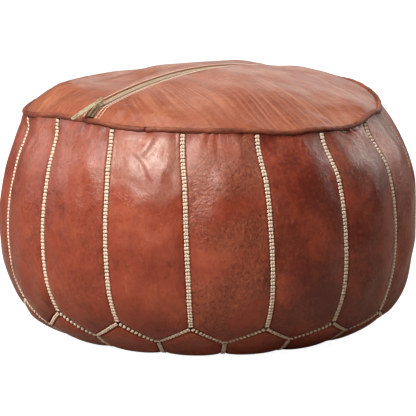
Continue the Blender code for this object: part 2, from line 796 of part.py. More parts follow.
def build_insert(bag_mat, fill_mat):
    outer, rows = layer_of(BAG_SIDE, BAG_TOP)
    inner, _ = layer_of(BAG_SIDE + BAG_CLOTH, BAG_TOP + BAG_CLOTH)
    faces = grid_faces(BAG_COLUMNS, rows, closed=True)
    centre = len(outer)
    outer.append(Vector((0.0, 0.0, BAG_SIDE)))
    inner.append(Vector((0.0, 0.0, BAG_SIDE + BAG_CLOTH)))
    faces += [((c + 1) % BAG_COLUMNS, c, centre) for c in range(BAG_COLUMNS)]
    points, solid = skin(outer, inner, faces)
    add_object("insert_bag", points, solid, bag_mat)

    depth = BAG_SIDE + BAG_CLOTH + GAP
    points, rows = layer_of(depth, BAG_TOP + BAG_CLOTH + GAP)
    faces = grid_faces(BAG_COLUMNS, rows, closed=True)
    top = (rows - 1) * BAG_COLUMNS
    points.append(Vector((0.0, 0.0, depth)))
    points.append(dome(CENTRE_X, CENTRE_Y, BAG_TOP + BAG_CLOTH + GAP))
    bottom_centre, top_centre = len(points) - 2, len(points) - 1
    for c in range(BAG_COLUMNS):
        right = (c + 1) % BAG_COLUMNS
        faces.append((right, c, bottom_centre))
        faces.append((top + c, top + right, top_centre))
    add_object("fibre_filling", points, faces, fill_mat)


# ---- build ----
for leftover in list(bpy.data.objects):
    bpy.data.objects.remove(leftover)

side_leather = material("side_leather", (0.300, 0.072, 0.040), 0.42)
top_leather = material("top_leather", (0.440, 0.145, 0.095), 0.40)
welt_leather = material("welt_leather", (0.160, 0.036, 0.022), 0.45)
lacing_cord = material("lacing_cord", (0.860, 0.700, 0.520), 0.80)
piping_cord = material("piping_cord", (0.720, 0.640, 0.520), 0.90)
tape_cloth = material("tape_cloth", (0.560, 0.430, 0.270), 0.85)
coil_plastic = material("coil_plastic", (0.520, 0.400, 0.250), 0.50)
zip_metal = material("zip_metal", (0.480, 0.430, 0.300), 0.35, 1.0)
muslin = material("muslin", (0.800, 0.760, 0.670), 0.90)
fibre = material("fibre", (0.850, 0.840, 0.800), 0.95)

for number in range(PANELS):
    build_side_panel(number, side_leather)
    build_base_petal(number, side_leather)
build_disc(side_leather)
build_lacing(lacing_cord)
build_top_panel("top_panel_left", -1, top_leather)
build_top_panel("top_panel_right", 1, top_leather)
build_welt(welt_leather, piping_cord)
build_zip(tape_cloth, coil_plastic, zip_metal)
build_insert(muslin, fibre)

slider_psi = math.asin((ZIP_FRONT - ARC_Y) / ARC_RADIUS) + SLIDER_FROM_RIM / ARC_RADIUS
slider = build_slider(zip_metal)
slider.location = (CENTRE_X, ARC_Y, ARC_Z)
slider.rotation_euler = (-slider_psi, 0.0, 0.0)
pull = build_pull_tab(zip_metal)
pull.parent = slider
pull.location = (0.0, 0.0, ARC_RADIUS + PIVOT_HEIGHT)
pull.rotation_euler = (TAB_DROOP, 0.0, 0.0)
for helper in bpy.data.objects:
    if helper.hide_render:
        helper.parent = pull if helper.name.startswith("zip_pull") else slider
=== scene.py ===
"""Looks of the stitched-leather floor pouf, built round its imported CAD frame.

Metres, +Z up. Azimuths run from -Y, the slider's end of the zip, towards +X.
"""

import math

import bmesh
import bpy
import numpy as np
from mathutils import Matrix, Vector


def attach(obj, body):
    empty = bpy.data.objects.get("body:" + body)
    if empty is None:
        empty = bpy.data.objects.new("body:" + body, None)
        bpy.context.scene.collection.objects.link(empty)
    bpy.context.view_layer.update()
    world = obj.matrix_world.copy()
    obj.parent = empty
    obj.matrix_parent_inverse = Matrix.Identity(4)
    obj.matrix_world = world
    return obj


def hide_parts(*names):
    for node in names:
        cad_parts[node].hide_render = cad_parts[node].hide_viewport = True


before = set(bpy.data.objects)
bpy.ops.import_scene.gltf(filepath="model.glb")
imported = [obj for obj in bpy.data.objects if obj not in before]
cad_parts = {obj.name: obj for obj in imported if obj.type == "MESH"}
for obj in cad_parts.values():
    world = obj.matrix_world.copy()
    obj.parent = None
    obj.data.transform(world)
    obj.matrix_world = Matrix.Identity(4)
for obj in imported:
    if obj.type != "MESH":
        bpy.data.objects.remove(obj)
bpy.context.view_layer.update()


def with_radians(*rows):
    """Table rows whose first two columns are given in degrees."""
    return [(math.radians(a), math.radians(b), *rest) for a, b, *rest in rows]


# ---- the cover's layout, as in the CAD part ----
PANELS = 16
PITCH = 2 * np.pi / PANELS
FIRST_SEAM = math.radians(10.0)
# the outline's radius and height, from the centre disc's edge up to the rim
PROFILE = np.array([
    (0.06, 0.0), (0.192, 0.0), (0.2335, 0.0206), (0.2565, 0.0451), (0.2768, 0.0941),
    (0.2801, 0.1655), (0.2687, 0.2394), (0.2544, 0.2783), (0.2405, 0.3092),
])
AT_FOOT, AT_ZIG_LOW, AT_ZIG_HIGH, AT_BELLY, AT_RIM = 1.0, 2.0, 3.0, 5.0, 8.0
DISC_RADIUS = 0.06
ZIG_RUN = 0.034
ZIG_SLOPE = math.radians(35.0)
DOME_POWER = 2.22
RIM_SHIFT = (-0.007, -0.0033)
RIM_SADDLE = 0.0068
RIM_TILT = 0.0095
RIM_LOW_AT = math.radians(38.0)
BASE_TILT = 0.005
BASE_HIGH_AT = math.radians(-52.0)
BASE_OVAL = 0.01
SEAM_LEAN = math.radians(0.65)
# where the stuffing fills the barrel out, and where it hangs slack:
# (azimuth, half width round the barrel, place on the outline, reach along it, how far out)
BARREL_SWELLS = with_radians(
    (128, 52, 5.9, 1.7, 0.0062), (-52, 52, 7.0, 0.9, -0.0062), (-52, 50, 4.9, 0.9, 0.0022)
)
PINCH = 0.0035
PINCH_POWER = 2.5
PINCH_REACH = 0.035
RIM_RADIUS = 0.2405
LEATHER = 0.002
# uneven filling lifts and drops the rim, but not where the zip's ends are:
# (azimuth, half width, height)
RIM_LUMPS = with_radians(
    (-50, 44, -0.0105), (-14, 12, 0.0012), (16, 15, -0.0036), (52, 20, 0.0026),
    (64, 9, -0.002), (74, 10, 0.0012), (90, 11.5, -0.0032), (107, 10, 0.0036),
    (122, 11.5, -0.0034), (156, 20, 0.003), (214, 30, -0.004), (-97, 24, 0.0028),
)
# fuller and emptier places in the dome: (azimuth, half width round it, place, height)
DOME_SWELLS = with_radians(
    (-46, 26, 0.8, 0.0114), (-46, 40, 0.45, -0.0115), (188, 30, 0.75, 0.0078),
    (138, 30, 0.75, -0.0019),
)
# the leather's own smaller ones, over the filling
SKIN_SWELLS = with_radians(
    (-75, 24, 0.95, 0.0058), (-52, 20, 0.9, 0.0018), (-100, 24, 0.88, 0.0034),
    (178, 16, 0.8, 0.004), (-130, 26, 0.8, 0.0016), (-75, 26, 0.65, -0.007),
)
# each set with its reach across the dome, and how sharply it stops at the rim
ALL_SWELLS = ((DOME_SWELLS, 0.2, 8), (SKIN_SWELLS, 0.13, 16))
SWELL_CLEAR = 0.035

# zip
ARC_RADIUS = 0.85
ARC_Y = 0.002
CROWN_HEIGHT = 0.3562
ARC_Z = CROWN_HEIGHT - ARC_RADIUS
SHOULDER_FROM = 0.9
SHOULDER_POWER = 1.5
ZIP_HOLDS = math.radians(24.0)
LIP_LEFT = 0.0074
LIP_RIGHT_END = 0.0078
LIP_RIGHT_MIDDLE = 0.0115
# the sewing draws the leather down beside the zip
LIP_DROP_LEFT = 0.0012
LIP_DROP_RIGHT = 0.0021
LIP_DROP_REACH = 0.014
COIL_DEPTH = 0.0036
COIL_OFFSET = 0.0023
TAPE_END = 0.006
COIL_END = 0.013

# stitching
STITCH_PITCH = 0.0046
STITCH_HALF = 0.0033


# ---- arithmetic on arrays ----
def smooth(low, high, value):
    s = np.clip((np.asarray(value, float) - low) / (high - low), 0.0, 1.0)
    return s * s * (3 - 2 * s)


def unit(v):
    return v / np.maximum(np.linalg.norm(v, axis=-1, keepdims=True), 1e-12)


def xyz(x, y, z):
    return np.stack(np.broadcast_arrays(x, y, z), axis=-1)


def xy(x, y):
    return np.stack([x, y], axis=-1)


def circle(count, offset=0.0):
    return 2 * np.pi * (np.arange(count) + offset) / count


def polar(azimuth, radius, height):
    return xyz(radius * np.sin(azimuth), -radius * np.cos(azimuth), height)


def turn(azimuth, middle):
    """The angle between two azimuths."""
    return np.abs((azimuth - middle + np.pi) % (2 * np.pi) - np.pi)


def ripple(points, size, seed, waves=20):
    """A smooth random field over points, about 1 in size, whose swells are about size across."""
    rng = np.random.default_rng(seed)
    directions = unit(rng.normal(size=(waves, points.shape[-1])))
    rates = 2 * np.pi * rng.uniform(0.6, 1.5, waves)
    phases = rng.uniform(0, 2 * np.pi, waves)
    scaled = points / np.asarray(size)
    total = np.zeros(points.shape[:-1])
    for direction, rate, phase in zip(directions, rates, phases):
        total += np.sin(scaled @ direction * rate + phase)
    return total / math.sqrt(waves / 2)


# ---- the cover's smooth surface ----
def outline_slopes():
    slopes = [(1.0, 0.0), (1.0, 0.0)]
    for i in range(2, len(PROFILE)):
        low, high = PROFILE[i - 1], PROFILE[min(i + 1, len(PROFILE) - 1)]
        reach = math.dist(low, PROFILE[i]) + math.dist(PROFILE[i], high)
        slopes.append(tuple((high - low) / reach))
    return np.array(slopes)


SLOPES = outline_slopes()
RUNS = np.linalg.norm(np.diff(PROFILE, axis=0), axis=1)


def profile(t):
    """Radius and height of the outline at t, which counts PROFILE's points."""
    t = np.asarray(t, float)
    i = np.clip(t.astype(int), 0, len(PROFILE) - 2)
    s = (t - i)[..., None]
    run = RUNS[i][..., None]
    smooth_part = (
        (2 * s**3 - 3 * s**2 + 1) * PROFILE[i]
        + (s**3 - 2 * s**2 + s) * run * SLOPES[i]
        + (3 * s**2 - 2 * s**3) * PROFILE[i + 1]
        + (s**3 - s**2) * run * SLOPES[i + 1]
    )
    flat_part = PROFILE[i] + (PROFILE[i + 1] - PROFILE[i]) * s
    both = np.where((i < AT_FOOT)[..., None], flat_part, smooth_part)
    return both[..., 0], both[..., 1]


T_TABLE = np.linspace(0.0, AT_RIM, 1601)
S_TABLE = np.append(0.0, np.cumsum(np.hypot(*(np.diff(v) for v in profile(T_TABLE)))))


def length_at(t):
    """Distance along the outline from the edge of the centre disc."""
    return np.interp(t, T_TABLE, S_TABLE)


def t_at(length):
    return np.interp(length, S_TABLE, T_TABLE)


def rim_lift(azimuth):
    return RIM_SADDLE * np.cos(2 * azimuth) - RIM_TILT * np.cos(azimuth - RIM_LOW_AT)


def rim_wave(azimuth):
    total = np.zeros_like(np.asarray(azimuth, float))
    for middle, width, height in RIM_LUMPS:
        away = turn(azimuth, middle) / width
        total = total + height * np.clip(1 - away**2, 0, 1) ** 2
    return total


def surface(azimuth, t):
    radius, height = profile(t)
    rim_share = smooth(5.5, AT_RIM, t)
    zig_share = smooth(0.0, 1.0, 1 - np.abs(t - AT_ZIG_HIGH))
    spread = smooth(AT_FOOT, AT_ZIG_LOW, t) * (1 - smooth(AT_ZIG_LOW, 4.2, t))
    radius = radius - BASE_OVAL * spread * np.cos(2 * (azimuth - RIM_LOW_AT))
    for middle, width, place, reach, out in BARREL_SWELLS:
        away = (turn(azimuth, middle) / width) ** 2 + ((t - place) / reach) ** 2
        radius = radius + out * np.exp(-away) * (1 - smooth(7.2, AT_RIM, t)) * smooth(2.0, 3.4, t)
    height = height + rim_share * rim_lift(azimuth) + smooth(6.8, AT_RIM, t) * rim_wave(azimuth)
    height = height + zig_share * BASE_TILT * np.cos(azimuth - BASE_HIGH_AT)
    lean = np.where(t > AT_ZIG_LOW, np.sin(np.pi * (t - AT_BELLY) / 3.0), 0.0)
    shift = np.asarray(rim_share)[..., None] * np.array((*RIM_SHIFT, 0.0))
    return polar(azimuth - SEAM_LEAN * lean, radius, height) + shift


def outward(azimuth, t):
    step = 0.01
    t = np.clip(t, step, AT_RIM - step)
    along = surface(azimuth + step, t) - surface(azimuth - step, t)
    up = surface(azimuth, t + step) - surface(azimuth, t - step)
    return unit(np.cross(along, up))


def seam_share(azimuth, first):
    """1 at the seams that start at first, 0 half way between them."""
    return np.abs(2 * (((azimuth - first) / PITCH) % 1.0) - 1)


def zigzag(azimuth):
    return AT_ZIG_LOW + (AT_ZIG_HIGH - AT_ZIG_LOW) * seam_share(azimuth, FIRST_SEAM)


def sink(azimuth, t):
    """How far the stitching pulls the leather in."""
    edge = zigzag(azimuth)
    side = seam_share(azimuth, FIRST_SEAM)
    base = seam_share(azimuth, FIRST_SEAM + PITCH / 2)
    free = 1 - np.where(t >= edge, side, base) ** PINCH_POWER
    to_disc = np.where(t < AT_FOOT, np.abs(profile(t)[0] - DISC_RADIUS), PINCH_REACH)
    for distance in (np.abs(t - edge) * ZIG_RUN, to_disc):
        free = free * (1 - np.clip(1 - distance / PINCH_REACH, 0, 1) ** PINCH_POWER)
    return PINCH * (1 - free) * (1 - smooth(7.2, AT_RIM, t))


def cover(azimuth, t, depth=0.0):
    azimuth, t = np.broadcast_arrays(np.asarray(azimuth, float), np.asarray(t, float))
    return surface(azimuth, t) - outward(azimuth, t) * (sink(azimuth, t) + depth)[..., None]


# ---- the dome ----
CENTRE_X, CENTRE_Y = RIM_SHIFT
ZIP_FRONT, ZIP_BACK = CENTRE_Y - RIM_RADIUS, CENTRE_Y + RIM_RADIUS


def arc_height(y):
    return ARC_Z + np.sqrt(ARC_RADIUS**2 - (y - ARC_Y) ** 2)


def lip(y, side):
    """How far the hem on one side of the zip lies from the centre line."""
    if side < 0:
        return np.full_like(np.asarray(y, float), LIP_LEFT)
    along = np.abs(y - CENTRE_Y) / RIM_RADIUS
    return LIP_RIGHT_MIDDLE + (LIP_RIGHT_END - LIP_RIGHT_MIDDLE) * along**2


def fall(azimuth, share):
    """How far the dome has come down from the zip's arc, from 0 to 1 at the rim."""
    past = np.maximum(0.0, (share - SHOULDER_FROM) / (1 - SHOULDER_FROM))
    to_zip = np.minimum(turn(azimuth, 0.0), turn(azimuth, np.pi))
    near_zip = np.exp(-((to_zip / ZIP_HOLDS) ** 2))
    return share**DOME_POWER * (1 - near_zip) + past**SHOULDER_POWER * near_zip


def dome(x, y, drawn_down=1.0):
    dx, dy = x - CENTRE_X, y - CENTRE_Y
    share = np.hypot(dx, dy) / RIM_RADIUS
    azimuth = np.arctan2(dx, -dy)
    edge_y = CENTRE_Y - RIM_RADIUS * np.cos(azimuth)
    drop = arc_height(edge_y) - (PROFILE[-1][1] + rim_lift(azimuth))
    height = arc_height(y) - fall(azimuth, share) * drop
    height = height + smooth(0.72, 1.0, share) * rim_wave(azimuth)
    off_zip = 1 - np.exp(-((dx / SWELL_CLEAR) ** 2))
    for swells, reach, edge in ALL_SWELLS:
        free = off_zip * (1 - np.minimum(share, 1.0) ** edge)
        for middle, width, place, swell in swells:
            away = (turn(azimuth, middle) / width) ** 2 + ((share - place) / reach) ** 2
            height = height + free * swell * np.exp(-away)
    beside_zip = np.where(dx < 0, -dx - LIP_LEFT, dx - lip(y, 1))
    drop = np.where(dx < 0, LIP_DROP_LEFT, LIP_DROP_RIGHT)
    height = height - drawn_down * drop * (1 - smooth(0.0, LIP_DROP_REACH, beside_zip))
    return xyz(x, y, height)


def dome_normal(x, y):
    step = 0.001
    slope_x = (dome(x + step, y)[..., 2] - dome(x - step, y)[..., 2]) / (2 * step)
    slope_y = (dome(x, y + step)[..., 2] - dome(x, y - step)[..., 2]) / (2 * step)
    return unit(xyz(-slope_x, -slope_y, 1.0))


def on_zip(y, height, x):
    """A point x beside the zip's centre line, height above the dome's own surface there."""
    y, height, x = np.broadcast_arrays(*(np.asarray(v, float) for v in (y, height, x)))
    step = 0.0005
    middle = np.full_like(y, CENTRE_X)
    ahead, behind = dome(middle, y + step, 0.0), dome(middle, y - step, 0.0)
    tip = xyz(0.0, behind[..., 2] - ahead[..., 2], 2 * step)
    return dome(CENTRE_X + x, y, 0.0) + unit(tip) * height[..., None]


# ---- meshes ----
def make_object(name, points, faces, attributes=None):
    mesh = bpy.data.meshes.new(name)
    mesh.from_pydata(np.asarray(points, float).reshape(-1, 3).tolist(), [], faces)
    for label, values in (attributes or {}).items():
        values = np.asarray(values, np.float32)
        kind = "FLOAT_VECTOR" if values.ndim > 1 and values.shape[-1] == 3 else "FLOAT"
        layer = mesh.attributes.new(label, kind, "POINT")
        layer.data.foreach_set("vector" if kind == "FLOAT_VECTOR" else "value", values.ravel())
    mesh.polygons.foreach_set("use_smooth", [True] * len(mesh.polygons))
    mesh.update()
    obj = bpy.data.objects.new(name, mesh)
    bpy.context.scene.collection.objects.link(obj)
    return obj


def grid_faces(rows, columns, start=0, closed=False):
    """Quads over a grid of points whose rows follow each other; closed joins the last column."""
    index = start + np.arange(rows * columns).reshape(rows, columns)
    right = np.roll(index, -1, axis=1)
    if not closed:
        index, right = index[:, :-1], right[:, :-1]
    quads = np.stack([index[:-1], right[:-1], right[1:], index[1:]], axis=-1)
    return quads.reshape(-1, 4).tolist()


def tube_faces(rings, sides, start=0, looped=False):
    """A tube's faces, joined end to end if it is looped and capped if it isn't."""
    first = list(range(start, start + sides))
    last = [i + (rings - 1) * sides for i in first]
    ends = [first[::-1], last]
    if looped:
        pairs = [(i, (i + 1) % sides) for i in range(sides)]
        ends = [[last[i], last[j], first[j], first[i]] for i, j in pairs]
    return grid_faces(rings, sides, start, closed=True) + ends


def flipped(faces):
    return [f[::-1] for f in faces]


def finish_piece(obj, body, mat, nodes=()):
    obj.data.materials.append(mat)
    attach(obj, body)
    if nodes:
        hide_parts(*nodes)


def thicken(obj):
    """Rounds a leather sheet off and gives it its thickness, inwards."""
    round_off = obj.modifiers.new("round_off", "SUBSURF")
    round_off.levels = round_off.render_levels = 1
    round_off.boundary_smooth = "PRESERVE_CORNERS"
    shell = obj.modifiers.new("leather_thickness", "SOLIDIFY")
    shell.thickness = LEATHER
    shell.offset = -1.0


# ---- material building ----
class Shade:
    """A material under construction: helpers that add nodes and link them."""

    def __init__(self, name, viewport):
        self.material = bpy.data.materials.new(name)
        self.material.use_nodes = True
        self.material.diffuse_color = (*viewport, 1.0)
        self.tree = self.material.node_tree
        self.tree.nodes.clear()
        self.output = self.node("OutputMaterial")
        self.shader = self.node("BsdfPrincipled")
        self.put(self.output, "Surface", self.shader.outputs[0])

    def put(self, node, key, value):
        socket = node.inputs[key]
        if isinstance(value, bpy.types.NodeSocket):
            self.tree.links.new(value, socket)
        else:
            socket.default_value = value

    def node(self, kind, settings=None, **inputs):
        made = self.tree.nodes.new(f"ShaderNode{kind}")
        for key, value in (settings or {}).items():
            setattr(made, key, value)
        for key, value in inputs.items():
            self.put(made, key.replace("_", " "), value)
        return made

    def attribute(self, name, output="Fac"):
        return self.node("Attribute", {"attribute_name": name}).outputs[output]

    def world(self):
        return self.node("TexCoord").outputs["Object"]

    def operate(self, kind, operation, *values):
        made = self.node(kind, {"operation": operation})
        for i, value in enumerate(values):
            self.put(made, i, value)
        return made.outputs[0]

    def math(self, operation, a, b=0.0, c=0.0):
        return self.operate("Math", operation, a, b, c)

    def times(self, a, b):
        return self.math("MULTIPLY", a, b)

    def plus(self, a, b):
        return self.math("ADD", a, b)

    def times_plus(self, a, b, c):
        return self.math("MULTIPLY_ADD", a, b, c)

    def scaled(self, vector, scale):
        return self.operate("VectorMath", "MULTIPLY", vector, scale)

    def shifted(self, vector, offset):
        return self.operate("VectorMath", "ADD", vector, offset)

    def noise(self, vector, size, detail=3.0, roughness=0.55, output="Fac"):
        made = self.node(
            "TexNoise", Vector=vector, Scale=1.0 / size, Detail=detail, Roughness=roughness
        )
        return made.outputs[output]

    def warped(self, vector, size, detail, reach):
        """The places in vector, moved about by noise in the plane of the hide."""
        by = self.noise(vector, size, detail, output="Color")
        return self.shifted(vector, self.scaled(by, (reach, reach, 0.0)))

    def cells(self, vector, size, feature="F1"):
        made = self.node("TexVoronoi", {"feature": feature}, Vector=vector, Scale=1.0 / size)
        return made.outputs["Distance"]

    def wave(self, vector, direction, scale, distortion, detail):
        made = self.node(
            "TexWave", {"wave_type": "BANDS", "bands_direction": direction},
            Vector=vector, Scale=scale, Distortion=distortion, Detail=detail,
        )
        return made.outputs["Fac"]

    def range(self, value, low, high, to_low=0.0, to_high=1.0):
        made = self.node("MapRange", {"interpolation_type": "SMOOTHSTEP"})
        for i, v in enumerate((value, low, high, to_low, to_high)):
            self.put(made, i, v)
        return made.outputs[0]

    def thin_lines(self, field, half):
        """1 along the lines where a noise field passes its middle value."""
        away = self.math("ABSOLUTE", self.math("SUBTRACT", field, 0.5))
        return self.range(away, 0.0, half, 1.0, 0.0)

    def mix(self, share, a, b):
        made = self.node("Mix", {"data_type": "RGBA"})
        self.put(made, 0, share)
        for socket, colour in ((6, a), (7, b)):
            made_by_nodes = isinstance(colour, bpy.types.NodeSocket)
            self.put(made, socket, colour if made_by_nodes else (*colour, 1.0))
        return made.outputs[2]

    def bump(self, height, distance, strength=1.0, normal=None):
        made = self.node("Bump", Height=height, Distance=distance, Strength=strength)
        if normal is not None:
            self.put(made, "Normal", normal)
        return made.outputs[0]

    def finish(self, colour, roughness, **others):
        self.put(self.shader, "Base Color", colour)
        self.put(self.shader, "Roughness", roughness)
        for key, value in others.items():
            self.put(self.shader, key.replace("_", " "), value)
        return self.material


def leather(name, deep, middle, pale, rubbed, gloss, seam_dark=0.3, grain=1.0, seed=0.0):
    """Waxed goatskin: mottled dye, fine creases that rub pale, pebbled and glossy patches, with
    painted highlight, painted sheen and painted shade.

    It reads hide (place on the skin in metres), edge (distance to the nearest seam, where painted
    shade gathers), tone (each panel's own shade of dye, with painted shade near the foot and beside
    the welt, and painted light on the welt's top), crease (where the shape itself is creased),
    streak and combed (drawn-out streaks and where they lie), pebble and polish (where it is either;
    polish also carries a painted highlight).
    """
    s = Shade(name, middle)
    pebbled_brown_and_sheen = (middle[0] * 0.8, middle[1] * 1.35, middle[2] * 1.4)
    painted_highlight_beige = (0.64, 0.42, 0.32)
    place = s.shifted(s.attribute("hide", "Vector"), (seed, seed * 0.7, 0.0))
    crumple, pebbled = s.attribute("crease"), s.attribute("pebble")

    # dye: broad clouds, smaller blotches and faint brush marks along the skin
    warped = s.warped(place, 0.05, 2.0, 0.03)
    clouds = s.noise(warped, 0.085, 4.0, 0.6)
    blotches = s.noise(warped, 0.02, 5.0, 0.62)
    brushed = s.noise(s.scaled(warped, (1.0, 0.22, 1.0)), 0.006, 4.0, 0.6)
    dye = s.times_plus(clouds, 0.55, s.times(blotches, 0.55))
    dye = s.plus(dye, s.times_plus(brushed, 0.24, -0.17))
    # tone brings in each panel's own shade, and the painted shade near the foot and beside the welt
    dye = s.plus(dye, s.times_plus(s.attribute("tone"), 1.0, -0.5))
    low = s.mix(s.range(dye, 0.22, 0.5, 0.1, 1.0), deep, middle)
    colour = s.mix(s.range(dye, 0.46, 0.78), low, pale)

    # fine creases, lying mostly across the skin in patches, and vein-like lines down it
    folded = s.warped(place, 0.016, 3.0, 0.014)
    lying = s.noise(s.scaled(folded, (0.42, 1.0, 1.0)), 0.012, 2.0, 0.5)
    down = s.scaled(s.shifted(folded, (0.7, 0.2, 0.0)), (1.0, 0.4, 1.0))
    hanging = s.noise(down, 0.01, 2.0, 0.5)
    patches = s.range(s.noise(place, 0.05, 2.0), 0.5, 0.66)
    patches = s.math("MAXIMUM", patches, s.range(crumple, 0.15, 0.8))
    veins = s.range(s.noise(s.shifted(place, (0.5, 0.8, 0.0)), 0.06, 2.0), 0.5, 0.62)
    creased = s.times(s.thin_lines(lying, 0.018), patches)
    veined = s.times(s.thin_lines(hanging, 0.016), veins)

    # the net of the grain, strongest where the skin is pebbled
    # pebbled skin turns browner and greyer: partly the grain's own colour, partly a painted sheen
    colour = s.mix(s.times(pebbled, 0.6), colour, pebbled_brown_and_sheen)
    net = s.noise(s.scaled(folded, (1.0, 0.55, 1.0)), 0.0036, 4.0, 0.7)
    grain_by = s.times_plus(pebbled, 0.62, 0.2)
    colour = s.mix(s.times(s.range(net, 0.5, 0.66), grain_by), colour, pale)
    colour = s.mix(s.times(s.range(net, 0.34, 0.5, 1.0, 0.0), grain_by), colour, deep)

    # polished patches, where hands have rubbed the wax up: a glossier coat, and a painted beige
    # highlight mixed into the colour
    wax = s.noise(s.shifted(place, (0.9, 0.4, 0.0)), 0.05, 4.0, 0.6)
    polish = s.times(s.attribute("polish"), s.range(wax, 0.25, 0.6, 1.0, 0.72))
    colour = s.mix(s.times(polish, s.range(net, 0.36, 0.62, 0.22, 0.44)), colour, painted_highlight_beige)

    # pull lines combed across the dome, bumped as ridges with a painted highlight along them and
    # painted shade between, and creases rubbed pale
    rub = s.times_plus(creased, 0.05, s.times(veined, 0.03))
    rub = s.plus(rub, s.times(s.range(crumple, 0.35, 1.0), 0.12))
    combed = s.noise(s.attribute("streak", "Vector"), 0.0052, 3.0, 0.55)
    combed_by = s.attribute("combed")
    colour = s.mix(s.times(s.range(combed, 0.46, 0.68, 0.0, 0.72), combed_by), colour, pale)
    colour = s.mix(s.times(s.range(combed, 0.34, 0.52, 0.38, 0.0), combed_by), colour, deep)
    colour = s.mix(rub, colour, rubbed)

    # shade that gathers where the skin turns into a seam
    wavering = s.times_plus(s.noise(place, 0.004, 2.0), 0.0022, -0.0011)
    to_edge = s.plus(s.attribute("edge"), wavering)
    colour = s.mix(s.range(to_edge, 0.0032, 0.0058, 1.0 - seam_dark, 0.0), colour, deep)
    dark_line = s.range(to_edge, 0.0024, 0.0044, 0.75, 0.0)
    colour = s.mix(dark_line, colour, tuple(c * 0.6 for c in deep))

    # surface relief: (height, how deep, how strong)
    pebbles = s.times(s.cells(folded, 0.0032, "SMOOTH_F1"), s.times_plus(pebbled, 0.9, 0.12))
    normal = None
    for height, distance, strength in (
        (s.noise(warped, 0.012, 4.0, 0.55), 0.001, 0.45 * grain),
        (s.times(combed, combed_by), 0.0009, 0.5),
        (s.times(creased, -1.0), 0.0005, 0.3 * grain),
        (s.times(veined, -1.0), 0.0003, 0.25 * grain),
        (pebbles, 0.0009, 0.75 * grain),
        (s.noise(place, 0.0011, 3.0, 0.6), 0.00022, 0.5),
        (s.times(net, grain_by), 0.0011, 0.7 * grain),
    ):
        normal = s.bump(height, distance, strength, normal)

    # wax: polished in places, dull where pebbled or rubbed
    in_seam = s.range(to_edge, 0.0036, 0.0062, 1.0, 0.0)
    roughness = s.times_plus(s.range(wax, 0.36, 0.64), 0.17, gloss)
    for where, rougher in ((pebbled, 0.07), (rub, 0.15), (in_seam, 0.35)):
        roughness = s.times_plus(where, rougher, roughness)
    polish = s.times(polish, s.math("SUBTRACT", 1.0, in_seam))
    coat_relief = s.bump(s.noise(warped, 0.008, 3.0, 0.5), 0.001, 0.5)
    return s.finish(
        colour,
        roughness,
        Normal=normal,
        Specular_IOR_Level=s.times_plus(in_seam, -0.35, 0.45),
        Coat_Weight=s.times_plus(polish, 0.7, 0.05),
        Coat_Roughness=0.37,
        Coat_Normal=s.bump(net, 0.0005, 0.6, coat_relief),
    )


def thread(name, colour, grime_and_shade_colour, ply):
    """Plied waxed thread: slanting strands, random grime, and painted shade low down where it dips
    into the leather and in the grooves between strands.
    """
    s = Shade(name, colour)
    world = s.world()
    wave = s.wave(s.attribute("bead", "Vector"), "DIAGONAL", ply, 1.2, 2.0)
    fuzz = s.noise(world, 0.0009, 3.0)
    grime = s.range(s.noise(world, 0.03, 3.0), 0.42, 0.75)
    # painted shade where the thread dips down into the leather
    low = s.range(s.attribute("raised"), 0.05, 0.55, 1.0, 0.0)
    grime_and_shade = s.math("MAXIMUM", s.times(grime, 0.16), s.times(low, 0.65))
    # painted shade in the grooves between the strands
    base = s.mix(s.times(s.range(wave, 0.2, 0.8, 1.0, 0.0), 0.22), colour, grime_and_shade_colour)
    return s.finish(
        s.mix(grime_and_shade, base, grime_and_shade_colour),
        s.range(fuzz, 0.2, 0.8, 0.55, 0.8),
        Normal=s.bump(fuzz, 0.00012, 0.5, s.bump(wave, 0.00025, 0.6)),
        Sheen_Weight=0.25,
        Specular_IOR_Level=0.35,
    )


def woven(name, colour, dark, rows):
    """Woven tape: fine ribs across, a slight slub and grime, and a painted shadow under the right
    hem.
    """
    s = Shade(name, colour)
    place = s.attribute("hide", "Vector")
    weave = s.times(s.wave(place, "X", rows, 0.4, 1.0), s.wave(place, "Y", rows * 0.7, 0.4, 1.0))
    slub = s.noise(s.scaled(place, (1.0, 0.15, 1.0)), 0.0018, 3.0)
    base = s.mix(s.range(weave, 0.1, 0.7, 0.35, 0.0), colour, dark)
    base = s.mix(s.range(slub, 0.4, 0.7, 0.0, 0.25), base, dark)
    base = s.mix(s.range(s.noise(place, 0.018, 4.0), 0.48, 0.75, 0.0, 0.5), base, dark)
    # painted shadow where the right hem overhangs the tape
    hem_shadow = s.range(s.attribute("shade"), 0.36, 0.5, 0.0, 0.85)
    base = s.mix(hem_shadow, base, (dark[0] * 0.36, dark[1] * 0.22, dark[2] * 0.2))
    rough = s.range(slub, 0.2, 0.8, 0.75, 0.95)
    return s.finish(base, rough, Normal=s.bump(weave, 0.0003, 0.7), Sheen_Weight=0.2)


def plastic(name, colour, dark):
    s = Shade(name, colour)
    world = s.world()
    scuffs = s.noise(world, 0.004, 4.0)
    base = s.mix(s.range(scuffs, 0.4, 0.7, 0.0, 0.5), colour, dark)
    normal = s.bump(s.noise(world, 0.0008, 2.0), 0.00005, 0.5)
    rough = s.range(scuffs, 0.3, 0.7, 0.35, 0.55)
    return s.finish(base, rough, Normal=normal, Specular_IOR_Level=0.5)


def brass(name, colour, tarnish):
    """Plated zip metal, tarnished in patches and scratched."""
    s = Shade(name, colour)
    world = s.world()
    patina = s.noise(world, 0.0045, 5.0, 0.65)
    scratches = s.noise(s.scaled(world, (6.0, 0.6, 1.0)), 0.0016, 3.0, 0.7)
    base = s.mix(s.range(patina, 0.4, 0.62, 0.0, 0.9), colour, tarnish)
    rough = s.plus(s.range(patina, 0.3, 0.7, 0.22, 0.42), s.range(scratches, 0.45, 0.65, 0.0, 0.12))
    return s.finish(base, rough, Normal=s.bump(scratches, 0.00005, 0.5), Metallic=0.4)


